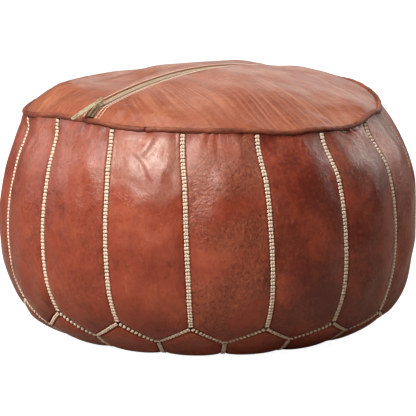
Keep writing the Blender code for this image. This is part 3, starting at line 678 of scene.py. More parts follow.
def cloth(name, colour, dark, size):
    s = Shade(name, colour)
    world = s.world()
    weave = s.cells(world, size)
    base = s.mix(s.range(s.noise(world, 0.03, 4.0), 0.35, 0.7, 0.0, 0.6), colour, dark)
    rough = s.range(weave, 0.0, 0.8, 0.8, 1.0)
    return s.finish(base, rough, Normal=s.bump(weave, size * 0.4, 0.6))


SIDE = leather(
    "side_leather", gloss=0.25,
    deep=(0.12, 0.015, 0.0068), middle=(0.29, 0.048, 0.023),
    pale=(0.42, 0.095, 0.048), rubbed=(0.6, 0.24, 0.145),
)
# the dome's leather, paler and pinker than the sides: partly its own colour, partly a painted sheen
# of the bright studio around it
TOP = leather(
    "top_leather", gloss=0.27, seam_dark=0.75, seed=3.1,
    deep=(0.225, 0.047, 0.024), middle=(0.365, 0.098, 0.048),
    pale=(0.52, 0.195, 0.108), rubbed=(0.72, 0.35, 0.23),
)
WELT = leather(
    "welt_leather", gloss=0.34, grain=0.7, seed=6.3,
    deep=(0.085, 0.015, 0.007), middle=(0.21, 0.048, 0.022),
    pale=(0.32, 0.09, 0.045), rubbed=(0.48, 0.19, 0.12),
)
LACING = thread("lacing_cord", (0.96, 0.79, 0.63), (0.56, 0.33, 0.21), 900.0)
TOPSTITCH = thread("topstitch_thread", (0.95, 0.76, 0.62), (0.56, 0.33, 0.23), 2500.0)
TAPE = woven("tape_cloth", (0.6, 0.45, 0.28), (0.34, 0.22, 0.12), 1000.0)
COIL = plastic("coil_plastic", (0.33, 0.23, 0.13), (0.15, 0.09, 0.05))
METAL = brass("zip_metal", (0.82, 0.7, 0.47), (0.38, 0.3, 0.18))
MUSLIN = cloth("muslin", (0.78, 0.73, 0.62), (0.6, 0.54, 0.43), 0.001)
FIBRE = cloth("fibre", (0.84, 0.83, 0.78), (0.65, 0.63, 0.57), 0.004)
PIPING = cloth("piping_cord", (0.7, 0.62, 0.48), (0.5, 0.42, 0.3), 0.0015)


# ---- leather sheets, before their pieces are made ----
# the skins differ: how much paler or darker each side panel is, how polished (a glossier coat with a
# painted highlight) and how pebbled
PANEL_TONES = (
    0.05, 0.07, -0.15, -0.15, -0.06, 0.05, -0.04, 0.02,
    -0.1, 0.04, -0.05, 0.0, -0.08, 0.02, -0.03, 0.0,
)
PANEL_POLISH_AND_HIGHLIGHT = (1.0, 0.3, 0.0, 0.25, 0.4, 0.2, 0.5, 0.3, 0.2, 0.6, 0.3, 0.4, 0.7, 0.2, 0.15, 0.1)
PANEL_PEBBLES = (0.05, 0.9, 0.2, 0.25, 0.7, 0.1, 0.5, 0.2, 0.8, 0.1, 0.3, 0.6, 0.1, 0.2, 0.3, 0.25)

BORDER = np.array((0.0002, 0.0012, 0.0024, 0.0036, 0.005, 0.007, 0.0096))
WELT_TUCK = 0.002  # the panels end this far inside the welt's centre line
HELD_AT_SEAM, HELD_AT_RIM = 0.0052, 0.004  # where the simulation holds the leather
rng = np.random.default_rng(62)
sheets = {}


def spaced(low, high, inner):
    """Places from low to high, close together near both ends. low and high are equal arrays."""
    low, high = np.asarray(low, float), np.asarray(high, float)
    border = BORDER.reshape((-1,) + (1,) * low.ndim)
    share = np.linspace(0, 1, inner + 2)[1:-1].reshape((-1,) + (1,) * low.ndim)
    start, end = low + BORDER[-1], high - BORDER[-1]
    return np.concatenate([low + border, start + (end - start) * share, high - border[::-1]])


def add_sheet(name, points, normals, u, v, edge, tone, **more):
    """Keeps a sheet's grid; u and v are its places on the hide."""
    none = np.zeros(edge.shape)
    sheets[name] = {
        "points": points, "normals": normals, "edge": edge, "tone": tone,
        "hide": xyz(u, v, 0.0), "streak": xyz(u, v * 0.1, 0.0),
        "crease": none, "combed": none, "pebble": none + 0.12, "polish": none, **more,
    }


def groove(edge):
    """The skin dips where the stitches bite, and turns in at the seam itself."""
    return 0.0009 * (1 - smooth(0.0028, 0.0056, edge)) + 0.0015 * (1 - smooth(0.0, 0.0014, edge))


def sewn(azimuth, length, offsets, radius, way):
    """Distance to the nearest seam, points and normals; way is 1 above the zigzag, -1 below."""
    t = t_at(length)
    to_zigzag = way * (length - length_at(zigzag(azimuth))) * math.cos(ZIG_SLOPE)
    to_side = np.minimum(offsets, (PITCH * radius)[:, None] - offsets)
    edge = np.minimum(to_side, to_zigzag)
    if way < 0:
        edge = np.minimum(edge, length)
    normals = outward(azimuth, t)
    return edge, cover(azimuth, t) - normals * groove(edge)[..., None], normals


def side_sheet(index):
    rows, top = 52, length_at(AT_RIM) - WELT_TUCK
    nominal = np.linspace(length_at(AT_ZIG_HIGH), top, rows + 2 * len(BORDER))
    radius = profile(t_at(nominal))[0]
    offsets = spaced(np.zeros_like(radius), PITCH * radius, 20).T
    azimuth = FIRST_SEAM + index * PITCH + offsets / radius[:, None]
    low = length_at(zigzag(azimuth[0]))
    length = spaced(low, np.full_like(low, top), rows)
    to_top = top - length
    edge, points, normals = sewn(azimuth, length, offsets, radius, 1)
    bare = xy(azimuth * 0.27, length)
    tone = 0.5 + PANEL_TONES[index] + 0.045 * ripple(bare, 0.11, 40 + index)
    # painted shade: each side panel darker towards its foot, and darker still just under the welt
    tone -= 0.06 * (1 - smooth(0.1, 0.24, length - length_at(AT_ZIG_LOW)))
    tone -= 0.12 * np.exp(-to_top / 0.012)
    top_band = 1 - smooth(0.045, 0.105, to_top + 0.012 * ripple(bare, 0.04, 120 + index))
    add_sheet(
        f"side_panel_{index + 1:02d}", points, normals,
        offsets + 0.61 * index, length + 0.37 * index, edge, tone,
        slack=0.3 + 0.7 * np.exp(-to_top / 0.045),
        hold=(edge < HELD_AT_SEAM) | (to_top < HELD_AT_RIM),
        to_top=to_top,
        across=offsets,
        pebble=PANEL_PEBBLES[index] * smooth(-1.8, 0.5, ripple(bare, 0.1, 60 + index)),
        # polish: a glossier coat and a painted highlight, in a band under the rim
        polish=PANEL_POLISH_AND_HIGHLIGHT[index] * top_band * smooth(0.002, 0.016, to_top),
    )


def petal_sheet(index):
    rows, columns, top = 30, 14, length_at(AT_ZIG_LOW)
    radius = profile(t_at(np.linspace(0.0, top, rows + 2 * len(BORDER))))[0]
    offsets = np.empty((len(radius), columns + 2 * len(BORDER)))
    for r, width in enumerate(PITCH * radius):
        squeeze = min(1.0, width / 0.03)
        offsets[r] = spaced(np.zeros(1), np.array([width / squeeze]), columns)[:, 0] * squeeze
    azimuth = FIRST_SEAM + (index - 0.5) * PITCH + offsets / radius[:, None]
    high = length_at(zigzag(azimuth[-1]))
    length = spaced(np.zeros_like(high), high, rows)
    edge, points, normals = sewn(azimuth, length, offsets, radius, -1)
    bare = xy(azimuth * 0.2, length)
    tone = 0.49 + rng.uniform(-0.06, 0.06) + 0.04 * ripple(bare, 0.09, 80 + index)
    u, v = offsets + 0.43 * index + 20.0, length + 0.29 * index
    add_sheet(f"base_petal_{index + 1:02d}", points, normals, u, v, edge, tone)


FAN_CENTRES = {1: (-0.8, 0.2), -1: (-0.1, -0.75)}  # in plan, right and left of the zip
HIDE_SHIFT = 5.0
TOP_STEPS = np.concatenate([
    [0.0, 0.0008, 0.002, 0.0036, 0.0056, 0.008],
    np.linspace(0.011, 0.235, 46),
    [0.2365, 0.238, 0.2392, 0.24],
])


def top_sheet(name, side):
    """Half of the dome, from the folded lip beside the zip (row 0) out to the welt."""
    rim = RIM_RADIUS - WELT_TUCK
    start = math.asin(float(lip(CENTRE_Y - rim, side)) / rim)
    azimuth = start + (np.pi - 2 * start) * np.linspace(0, 1, 121)
    lip_y = -np.cos(azimuth) * (rim * 0.996)
    far_x, far_y = rim * np.sin(azimuth), -rim * np.cos(azimuth)
    lip_x = np.minimum(lip(CENTRE_Y + lip_y, side), far_x)
    steps = (TOP_STEPS / TOP_STEPS[-1])[:, None]
    x, y = lip_x + (far_x - lip_x) * steps, lip_y + (far_y - lip_y) * steps
    px, py = CENTRE_X + side * x, CENTRE_Y + y
    to_lip = np.maximum(x - lip(CENTRE_Y + y, side), 0.0)
    to_rim = np.maximum(RIM_RADIUS - np.hypot(x, y), 0.0)
    bare = xy(px, py)
    # long pull lines: across the dome on the zip's right, along it on the left
    fan_x, fan_y = FAN_CENTRES[side]
    far = np.hypot(px - fan_x, py - fan_y)
    ray = np.arctan2(px - fan_x, -side * (py - fan_y))
    combed = (0.35 + 0.65 * smooth(-0.8, 0.9, ripple(bare, 0.13, 95))) * smooth(0.008, 0.04, to_lip)
    add_sheet(
        name, dome(px, py), dome_normal(px, py), px + HIDE_SHIFT, py + HIDE_SHIFT,
        # edge brings the seam's painted shade in beside the welt, and tone darkens there too:
        # painted shade under the welt
        edge=np.minimum(0.004 + to_rim, 0.05),
        tone=0.5 + 0.05 * ripple(bare, 0.13, 90 + side) - 0.1 * np.exp(-to_rim / 0.01),
        to_rim=to_rim,
        to_lip=to_lip,
        streak=xyz(ray * 0.98 + 0.0035 * ripple(bare, 0.2, 97), far * 0.035, 0.5 * side),
        combed=combed * (1.0 if side > 0 else 0.6),
    )


TOPS = (("top_panel_left", -1), ("top_panel_right", 1))
for number in range(PANELS):
    side_sheet(number)
    petal_sheet(number)
for name, side in TOPS:
    top_sheet(name, side)


# ---- the filling pushes the leather out ----
SIM_FRAMES = 20
SLACK_LEVELS = 20
PRESSURE = 700.0
MAX_BULGE = 0.0026


def relax(names):
    """Cloth simulation of the sheets, held along their seams, under the filling's pressure."""
    points, faces, count = [], [], 0
    for sheet in (sheets[name] for name in names):
        faces += grid_faces(*sheet["edge"].shape, count)
        points.append(sheet["points"].reshape(-1, 3))
        count += sheet["edge"].size
    points = np.concatenate(points)
    held, slack = (np.concatenate([sheets[n][k].ravel() for n in names]) for k in ("hold", "slack"))
    obj = make_object("relaxing_leather", points, faces)
    pins = obj.vertex_groups.new(name="pins")
    pins.add(np.flatnonzero(held).tolist(), 1.0, "REPLACE")
    loose = obj.vertex_groups.new(name="loose")
    levels = np.round(np.clip(slack, 0, 1) * SLACK_LEVELS).astype(int)
    for level in range(SLACK_LEVELS + 1):
        loose.add(np.flatnonzero(levels == level).tolist(), level / SLACK_LEVELS, "REPLACE")
    sim = obj.modifiers.new("stuffing", "CLOTH")
    settings = sim.settings
    settings.quality = 5
    settings.mass = 0.01
    settings.vertex_group_mass = "pins"
    settings.vertex_group_shrink = "loose"
    settings.shrink_min = 0.0
    settings.shrink_max = -0.022
    settings.tension_stiffness = settings.compression_stiffness = 25.0
    settings.shear_stiffness = 12.0
    settings.bending_stiffness = 0.6
    settings.use_pressure = True
    settings.uniform_pressure_force = PRESSURE
    settings.effector_weights.gravity = 0.0
    sim.point_cache.frame_start, sim.point_cache.frame_end = 1, SIM_FRAMES
    for step in range(1, SIM_FRAMES + 1):
        bpy.context.scene.frame_set(step)
    moved = np.empty(len(points) * 3)
    result = obj.evaluated_get(bpy.context.evaluated_depsgraph_get())
    result.data.vertices.foreach_get("co", moved)
    shift = moved.reshape(-1, 3) - points
    size = np.linalg.norm(shift, axis=1, keepdims=True)
    shift *= np.minimum(1.0, MAX_BULGE / np.maximum(size, 1e-9))
    bpy.data.objects.remove(obj)
    bpy.context.scene.frame_set(1)
    start = 0
    for sheet in (sheets[name] for name in names):
        stop = start + sheet["edge"].size
        sheet["points"] = sheet["points"] + shift[start:stop].reshape(sheet["points"].shape)
        start = stop


# only the side panels: under pressure the dome's sheets fall inwards, and the base lies flat
relax([n for n in sheets if n.startswith("side_panel")])


# ---- creases and gathers ----
def gathers(along, away, reach, spacing, seed):
    """Small folds that run away from an edge: a ripple along it that dies off with distance."""
    drift = xy(along, away * 0.35)
    folds = ripple(drift, spacing, seed)
    where = smooth(-0.3, 1.2, ripple(xy(along, along * 0), spacing * 6, seed + 1))
    return folds * where * np.exp(-away / reach)


def push(name, height, crease):
    """Moves a sheet out by height and marks where it is creased, but not in its seams."""
    sheet = sheets[name]
    free = smooth(0.003, 0.012, sheet["edge"])
    sheet["points"] = sheet["points"] + sheet["normals"] * (height * free)[..., None]
    sheet["crease"] = np.maximum(sheet["crease"], np.clip(crease * free, 0, 1))


# folds worth placing one by one, all in mm: panel, from and to (across, below the rim),
# half width, height
FOLDS = (
    (1, (68, 4), (52, 40), 5.5, -2.0), (1, (56, 6), (44, 36), 5.0, 1.6),
    (1, (40, 10), (49, 26), 6.0, -1.6), (1, (30, 34), (56, 68), 3.0, -1.7),
    (1, (36, 32), (62, 66), 5.0, 1.6), (1, (82, 8), (79, 60), 6.0, 1.5),
    (1, (20, 12), (16, 60), 8.0, 1.0), (1, (70, 50), (92, 74), 5.0, -1.0),
    (1, (12, 70), (50, 82), 4.5, -1.0), (2, (40, 2), (43, 30), 4.0, -1.1),
    (2, (66, 2), (72, 45), 5.0, 1.3), (2, (76, 4), (80, 40), 4.0, -1.0),
    (2, (10, 95), (75, 90), 3.0, -0.6), (2, (20, 104), (66, 112), 3.0, -0.6),
    (4, (30, 3), (50, 22), 4.0, 1.8), (4, (40, 2), (64, 20), 4.0, -1.6),
    (4, (56, 3), (74, 30), 4.5, 1.6), (5, (30, 3), (44, 60), 6.0, 1.6),
    (5, (48, 6), (66, 50), 5.0, -1.4), (16, (30, 2), (36, 24), 4.5, -1.2),
    (16, (72, 50), (78, 150), 8.0, 1.0), (15, (50, 4), (40, 50), 6.0, 1.0),
    (3, (20, 2), (26, 28), 4.5, -1.2), (3, (60, 2), (58, 34), 5.0, 1.2),
    (8, (40, 4), (60, 50), 5.0, -1.5), (8, (30, 60), (80, 80), 4.5, 1.0),
    (11, (70, 4), (50, 40), 5.0, 1.5), (12, (30, 20), (60, 60), 4.0, -1.4),
)


def fold(across, below, start, end, half, height):
    """A ridge or valley along a straight line, fading out at both ends."""
    start, end = np.array(start) / 1000, np.array(end) / 1000
    way = end - start
    long = np.hypot(*way)
    along = ((across - start[0]) * way[0] + (below - start[1]) * way[1]) / long
    aside = ((across - start[0]) * way[1] - (below - start[1]) * way[0]) / long
    bend = 0.12 * long * np.sin(np.pi * np.clip(along / long, 0, 1))
    ends = smooth(-0.3 * long, 0.25 * long, along) * (1 - smooth(0.7 * long, 1.3 * long, along))
    return height / 1000 * np.exp(-(((aside - bend) / (half / 1000)) ** 2)) * ends


for number in range(PANELS):
    name = f"side_panel_{number + 1:02d}"
    sheet = sheets[name]
    away = sheet["to_top"]
    placed = np.zeros_like(away)
    for which, *spec in FOLDS:
        if which == number + 1:
            placed = placed + fold(sheet["across"], away, *spec)
    push(name, placed, np.clip(-placed / 0.002, 0, 1))
    flat = sheet["hide"][..., :2]
    swell = 0.0007 * ripple(flat, (0.055, 0.075), 200 + number)
    folds = gathers(flat[..., 0], away, 0.03, 0.012, 220 + number)
    line = np.exp(-((ripple(flat, (0.05, 0.04), 240 + number) / 0.1) ** 2))
    line *= smooth(0.2, 1.4, ripple(flat, 0.07, 260 + number))
    push(name, swell + 0.0008 * folds - 0.0004 * line, 0.6 * line + 0.4 * np.abs(folds))

# where the rim's sewing has drawn the dome into more wrinkles:
# (azimuth, half width, how far they reach in, spacing, strength)
DRAWN_RIM = with_radians((98, 24, 0.045, 0.011, 1.5), (-42, 26, 0.075, 0.015, 1.3))
for name, side in TOPS:
    sheet = sheets[name]
    flat, away = sheet["hide"][..., :2], sheet["to_rim"]
    x, y = flat[..., 0] - HIDE_SHIFT - CENTRE_X, flat[..., 1] - HIDE_SHIFT - CENTRE_Y
    around = np.arctan2(x, -y) * RIM_RADIUS
    swell = 0.0009 * ripple(flat, 0.085, 300)
    folds = gathers(around, away, 0.03, 0.014, 310)
    for middle, width, reach, spacing, height in DRAWN_RIM:
        near = np.exp(-((turn(around / RIM_RADIUS, middle) / width) ** 2))
        drift = xy(around, away * 0.3)
        folds = folds + height * near * ripple(drift, spacing, 320) * np.exp(-away / reach)
    inside = smooth(0.0, 0.02, away) * smooth(0.004, 0.02, sheet["to_lip"])
    push(name, (swell + 0.0009 * folds) * inside, 0.5 * np.abs(folds))


# ---- leather pieces ----
SHEET_LAYERS = ("hide", "edge", "tone", "crease", "streak", "combed", "pebble", "polish")
LIP_NOSE = 0.0009  # how far the fold along the zip rounds out


def flattened(values):
    return values.reshape(-1, 3) if values.ndim == 3 else values.ravel()


def sheet_piece(name):
    sheet = sheets[name]
    attributes = {k: flattened(sheet[k]) for k in SHEET_LAYERS}
    faces = grid_faces(*sheet["edge"].shape)
    obj = make_object(f"{name}_leather", sheet["points"], faces, attributes)
    thicken(obj)
    finish_piece(obj, "cover", SIDE, [name])


def top_piece(name, side):
    """A dome half: the sheet's outer face, its inner face and a rounded fold along the zip."""
    sheet = sheets[name]
    outer, normals = sheet["points"], unit(sheet["normals"])
    rows, columns = sheet["edge"].shape
    inner = outer - normals * LEATHER
    nose = outer[0] - normals[0] * (LEATHER / 2)
    nose = nose - np.array([side * LIP_NOSE, 0.0, 0.0])
    loops = np.concatenate([inner[::-1], nose[None], outer])
    attributes = {}
    for key in SHEET_LAYERS:
        values = sheet[key]
        attributes[key] = flattened(np.concatenate([values[::-1], values[:1], values]))
    total = 2 * rows + 1
    index = np.arange(total * columns).reshape(total, columns)
    far_edge = np.stack([index[-1, :-1], index[-1, 1:], index[0, 1:], index[0, :-1]], axis=-1)
    ends = [index[:, 0].tolist(), index[::-1, -1].tolist()]
    faces = grid_faces(total, columns) + far_edge.tolist() + ends
    obj = make_object(f"{name}_leather", loops, flipped(faces) if side < 0 else faces, attributes)
    finish_piece(obj, "cover", TOP, [name])


def disc_piece():
    rings = np.array((598, 588, 576, 564, 550, 530, 500, 460, 400, 320, 220, 110)) / 10000
    around = 96
    radius = rings[:, None] * np.ones(around)
    edge = DISC_RADIUS - radius
    rise = PINCH * np.clip(1 - edge / 0.022, 0, 1) ** PINCH_POWER + groove(edge)
    rounds = polar(circle(around), radius, rise)
    points = np.concatenate([rounds.reshape(-1, 3), [[0.0, 0.0, 0.0]]])
    faces = grid_faces(len(rings), around, closed=True)
    last = (len(rings) - 1) * around
    faces += [[last + c, last + (c + 1) % around, len(points) - 1] for c in range(around)]
    attributes = {
        "hide": points + np.array([40.0, 0.0, 0.0]),
        "edge": np.append(edge.ravel(), 0.05),
        "tone": np.append(0.45 + 0.04 * ripple(rounds[..., :2], 0.05, 400).ravel(), 0.45),
    }
    obj = make_object("base_disc_leather", points, flipped(faces), attributes)
    thicken(obj)
    finish_piece(obj, "cover", SIDE, ["base_disc"])


for number in range(PANELS):
    sheet_piece(f"side_panel_{number + 1:02d}")
    sheet_piece(f"base_petal_{number + 1:02d}")
for name, side in TOPS:
    top_piece(name, side)
disc_piece()


# ---- stitching ----
def evenly(path, pitch):
    """Places, running directions and normals evenly along a dense path of (places, normals)."""
    places, normals = path
    run = np.append(0.0, np.cumsum(np.linalg.norm(np.diff(places, axis=0), axis=1)))
    count = max(2, int(run[-1] / pitch))
    spots = (np.arange(count) + 0.5) * run[-1] / count

    def at(where, values):
        return np.stack([np.interp(where, run, values[:, k]) for k in range(3)], axis=-1)

    ahead, behind = at(spots + 0.001, places), at(spots - 0.001, places)
    return at(spots, places), unit(ahead - behind), unit(at(spots, normals))


def ring_points(rings, sides, offset=0.0):
    """Each ring's columns, and the angle round it, at every point of a small solid."""
    columns = (np.repeat(column, sides) for column in np.array(rings).T)
    return *columns, np.tile(circle(sides, offset), len(rings))


# along the bead as a share of its length, how fat it is, how far it stands up in mm
BEAD_RINGS = (
    (0.0, 0.62, -0.15), (0.18, 0.92, 0.28), (0.46, 1.0, 0.5),
    (0.76, 0.95, 0.38), (0.94, 0.62, -0.2), (1.0, 0.22, -0.75),
)
BEAD_SIDES = 7
BEAD_ALONG = 0.00222
BEAD_PROUD = 0.00135
BEAD_CROSSING = 0.00025  # how far a bead reaches past the seam's middle
THREAD_DEPTH = 0.0004  # how far the path of the stitches lies inside the leather's surface


def lace(name, paths, pitch=STITCH_PITCH, half=STITCH_HALF):
    """Two beads of cord side by side at every stitch along the paths."""
    share, fatness, lift, angle = ring_points(BEAD_RINGS, BEAD_SIDES, 0.5)
    along = BEAD_ALONG * fatness * np.cos(angle)
    height = BEAD_PROUD * fatness * np.sin(angle) + lift * 1e-3
    local = xyz(share * STITCH_HALF, along, height)
    quads = tube_faces(len(BEAD_RINGS), BEAD_SIDES)
    draw = np.random.default_rng(len(paths) * 7 + len(name))
    points, faces, beads = [], [], []
    for path in paths:
        place, run, normal = evenly(path, pitch)
        across = unit(np.cross(run, normal))
        for p, forward, up, sideways in zip(place, run, normal, across):
            for side in (-1, 1):
                length = half * draw.uniform(0.94, 1.05)
                slant = 0.16 + draw.normal(0, 0.05)
                fat = draw.uniform(0.93, 1.05)
                jitter = forward * draw.normal(0, 0.00012)
                x = -BEAD_CROSSING + share * (length + BEAD_CROSSING)
                start = len(points) * len(share)
                points.append(p + jitter + (
                    np.outer(x * side, sideways)
                    + np.outer(along * fat - x * slant, forward)
                    + np.outer(height * fat, up)
                ))
                faces += [[i + start for i in q[::-side]] for q in quads]
                beads.append(local + np.array([draw.uniform(0, 9), 0.0, 0.0]))
    # raised: how high each point of the bead stands; the thread's material paints shade where it is
    # low
    raised = np.tile(np.clip(0.45 + height / 0.0022, 0, 1), len(points))
    attributes = {"bead": np.concatenate(beads), "raised": raised}
    obj = make_object(name, np.concatenate(points), faces, attributes)
    finish_piece(obj, "cover", LACING, ["seam_lacing"])


def seam_path(azimuth, t):
    azimuth, t = np.broadcast_arrays(azimuth, t)
    return cover(azimuth, t, THREAD_DEPTH), outward(azimuth, t)


side_paths, zigzag_paths, base_paths = [], [], []
for number in range(PANELS):
    seam = FIRST_SEAM + number * PITCH
    side_paths.append(seam_path(seam, np.linspace(AT_ZIG_HIGH + 0.06, AT_RIM - 0.13, 120)))
    for half in (0, 1):
        azimuth = seam + PITCH / 2 * (np.linspace(0, 1, 60) + half)
        azimuth = np.clip(azimuth, seam + 0.004, seam + PITCH - 0.004)
        zigzag_paths.append(seam_path(azimuth, zigzag(azimuth)))
    base_paths.append(seam_path(seam + PITCH / 2, np.linspace(0.035, AT_ZIG_LOW - 0.08, 120)))
disc_ring = polar(np.linspace(0, 2 * np.pi, 400), DISC_RADIUS, PINCH)
base_paths.append((disc_ring, np.tile([0.0, 0.0, -1.0], (400, 1))))
lace("side_seam_lacing", side_paths)
lace("zigzag_lacing", zigzag_paths, pitch=0.0053, half=0.0025)
lace("base_seam_lacing", base_paths, half=0.003)


# ---- welt ----
WELT_RADIUS = 0.0036
SPLICE_AT = math.radians(20.7)


def round_the_rim(steps, sides, radius):
    """A tube along the rim seam. radius is one number, or one for each of its points."""
    azimuth, angle = circle(steps), circle(sides)
    centre = surface(azimuth, np.full(steps, AT_RIM))[:, None]
    out, up = polar(azimuth, 1.0, 0.0)[:, None], np.array([0.0, 0.0, 1.0])
    points = (
        centre + out * (radius * np.cos(angle))[..., None] + up * (radius * np.sin(angle))[..., None]
    )
    return points, tube_faces(steps, sides, looped=True)


def welt_piece():
    steps, sides = 640, 18
    azimuth = circle(steps)
    from_splice = (((azimuth - SPLICE_AT + np.pi) % (2 * np.pi)) - np.pi) * RIM_RADIUS
    angle, along = np.meshgrid(circle(sides), azimuth * RIM_RADIUS)
    bend = xy(along, angle * 0.0035)
    overlap = smooth(-0.0004, 0.0004, from_splice) * (1 - smooth(0.004, 0.03, from_splice))
    nick = np.exp(-((from_splice / 0.0006) ** 2))[:, None]
    radius = WELT_RADIUS + 0.00022 * ripple(bend, (0.014, 0.01), 500)
    radius = radius + 0.00012 * ripple(bend, (0.004, 0.006), 501)
    radius = radius + (0.00045 * overlap[:, None] - 0.0007 * nick)
    points, faces = round_the_rim(steps, sides, radius)
    # painted shade where the cord sits down into the seam, and at the splice
    shade_below = np.cos(angle - math.radians(-120.0))
    edge = 0.0052 - 0.0024 * smooth(0.35, 0.95, shade_below) - 0.004 * nick
    # painted light: the welt's top paler and its underside darker, as lit from above
    tone = 0.5 + 0.1 * ripple(bend, (0.06, 0.02), 502) + 0.1 * np.sin(angle)
    attributes = {
        "hide": xyz(along + 60.0, angle * WELT_RADIUS, 0.0).reshape(-1, 3),
        "edge": edge.ravel(),
        "tone": tone.ravel(),
        "crease": np.repeat(0.8 * nick, sides),
    }
    obj = make_object("rim_welt_leather", points, faces, attributes)
    finish_piece(obj, "cover", WELT, ["rim_welt_cover"])


welt_piece()
cotton_cord = make_object("rim_welt_cord_core", *round_the_rim(320, 10, 0.0021))
finish_piece(cotton_cord, "cover", PIPING, ["rim_welt_cord"])

# ---- zip ----
# the tape's outline: (distance from the zip's centre line, height)
TAPE_SECTION = (
    (0.00022, 0.0009), (0.00035, 0.00125), (0.001, 0.0014), (0.0022, 0.0014), (0.0036, 0.0012),
    (0.0048, 0.0007), (0.0062, 0.0), (0.0076, -0.0006), (0.013, -0.0008), (0.0168, -0.0008),
    (0.0168, -0.0013), (0.011, -0.0012), (0.006, -0.0008), (0.0046, 0.0002), (0.0034, 0.0008),
    (0.001, 0.0011), (0.0004, 0.0009),
)
LEFT_TAPE_RAISED = 0.0007


def zip_tape(side, word):
    """Woven tape that lies over its coil, folded down at the middle of the zip."""
    y = np.linspace(ZIP_FRONT + TAPE_END, ZIP_BACK - TAPE_END, 320)[:, None]
    section = np.array(TAPE_SECTION)
    if side < 0:
        section[:, 1] += LEFT_TAPE_RAISED * (section[:, 0] > 0.005)
    wobble = 0.00005 * ripple(y, 0.05, 600 + side)[:, None]
    height = -COIL_DEPTH + section[:, 1] + wobble
    along, x = np.broadcast_arrays(y, side * section[:, 0])
    faces = tube_faces(len(y), len(section))
    attributes = {
        "hide": xyz(x, along, 0.0).reshape(-1, 3),
        # shade: how far across towards the right hem a point lies; the tape's material paints a
        # shadow under the hem
        "shade": np.where(x > 0, x / lip(along, 1), 0.0).ravel(),
    }
    points = on_zip(along, height, x)
    faces = flipped(faces) if side > 0 else faces
    obj = make_object(f"zip_tape_{word}_woven", points, faces, attributes)
    finish_piece(obj, "cover", TAPE, [f"zip_tape_{word}"])


TURN_LENGTH = 0.00165
POINTS_A_TURN = 10
COIL_WIRE_RADIUS, COIL_WIRE_SIDES = 0.00034, 5


def zip_coil(side, word):
    """The nylon coil: flattened turns that lock into the other side's."""
    first, last = ZIP_FRONT + COIL_END, ZIP_BACK - COIL_END
    count = int((last - first) / TURN_LENGTH * POINTS_A_TURN)
    angle = np.arange(count) * 2 * np.pi / POINTS_A_TURN + (np.pi if side > 0 else 0)
    y = first + np.arange(count) * TURN_LENGTH / POINTS_A_TURN
    # flattened loops, wide across and low in height, their heads towards the centre line
    x = side * (COIL_OFFSET - 0.0002 + 0.002 * np.cos(angle))
    line = on_zip(y, -COIL_DEPTH + 0.00075 * np.sin(angle), x)
    forward = unit(np.gradient(line, axis=0))
    sideways = unit(np.cross(forward, unit(on_zip(y, 0.001, x) - on_zip(y, 0.0, x))))
    up = np.cross(sideways, forward)
    a = circle(COIL_WIRE_SIDES)[None, :, None]
    ring = np.cos(a) * sideways[:, None] + np.sin(a) * up[:, None]
    points = line[:, None] + COIL_WIRE_RADIUS * ring
    obj = make_object(f"zip_coil_{word}_turns", points, tube_faces(len(line), COIL_WIRE_SIDES))
    finish_piece(obj, "cover", COIL, [f"zip_coil_{word}"])


# along the stitch from its middle, how fat it is, how far it stands up
STITCH_RINGS = (
    (-1.0, 0.35, -0.0005), (-0.85, 0.9, 0.0), (0.0, 1.0, 0.00025), (0.85, 0.9, 0.0),
    (1.0, 0.35, -0.0005),
)
STITCH_SIDES = 6
TOPSTITCH_REACH = 0.2358


def topstitch(side, offset, word):
    """A row of machine stitches along the hem beside the zip."""
    y = np.linspace(-TOPSTITCH_REACH, TOPSTITCH_REACH, 500)
    x = lip(CENTRE_Y + y, side) + offset
    px, py = CENTRE_X + side * x, CENTRE_Y + y
    place, run, normal = evenly((dome(px, py), dome_normal(px, py)), STITCH_PITCH)
    across = unit(np.cross(run, normal))
    share, fat, lift, angle = (v[:, None] for v in ring_points(STITCH_RINGS, STITCH_SIDES))
    points = (
        place[:, None] + run[:, None] * (share * 0.00205)
        + normal[:, None] * (lift + 0.0006 * fat * np.sin(angle) + 0.0003)
        + across[:, None] * (0.00092 * fat * np.cos(angle))
    )
    faces = []
    for start in range(0, len(place) * len(share), len(share)):
        faces += tube_faces(len(STITCH_RINGS), STITCH_SIDES, start)
    bead = np.hstack([share * 0.002, 0.0009 * np.cos(angle), 0.0006 * np.sin(angle)])
    # raised: how high each point of the stitch stands; the thread's material paints shade where it
    # is low
    raised = 0.4 + 0.6 * fat[:, 0]
    attributes = {"bead": np.tile(bead, (len(place), 1)), "raised": np.tile(raised, len(place))}
    obj = make_object(word, points, faces, attributes)
    finish_piece(obj, "cover", TOPSTITCH)


for side, word in ((-1, "left"), (1, "right")):
    zip_tape(side, word)
    zip_coil(side, word)
topstitch(1, 0.0034, "zip_topstitch_right_near")
topstitch(1, 0.0092, "zip_topstitch_right_far")
topstitch(-1, 0.001, "zip_topstitch_left")


# ---- slider and pull ----
def cast_piece(node_name, body, round_by, name):
    """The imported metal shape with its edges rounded, as cast and tumbled."""
    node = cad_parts[node_name]
    work = bmesh.new()
    work.from_mesh(node.data)
    work.transform(node.matrix_world)
    bmesh.ops.remove_doubles(work, verts=work.verts, dist=1e-6)
    flat_enough = math.radians(3.0)
    bmesh.ops.dissolve_limit(work, angle_limit=flat_enough, verts=work.verts, edges=work.edges)
    mesh = bpy.data.meshes.new(name)
    work.to_mesh(mesh)
    work.free()
    mesh.materials.clear()
    mesh.polygons.foreach_set("use_smooth", [False] * len(mesh.polygons))
    obj = bpy.data.objects.new(name, mesh)
    bpy.context.scene.collection.objects.link(obj)
    bevel = obj.modifiers.new("rounded_edges", "BEVEL")
    bevel.width = round_by
    bevel.segments = 2
    bevel.limit_method = "ANGLE"
    bevel.angle_limit = math.radians(35.0)
    bevel.harden_normals = False
    finish_piece(obj, body, METAL, [node_name])


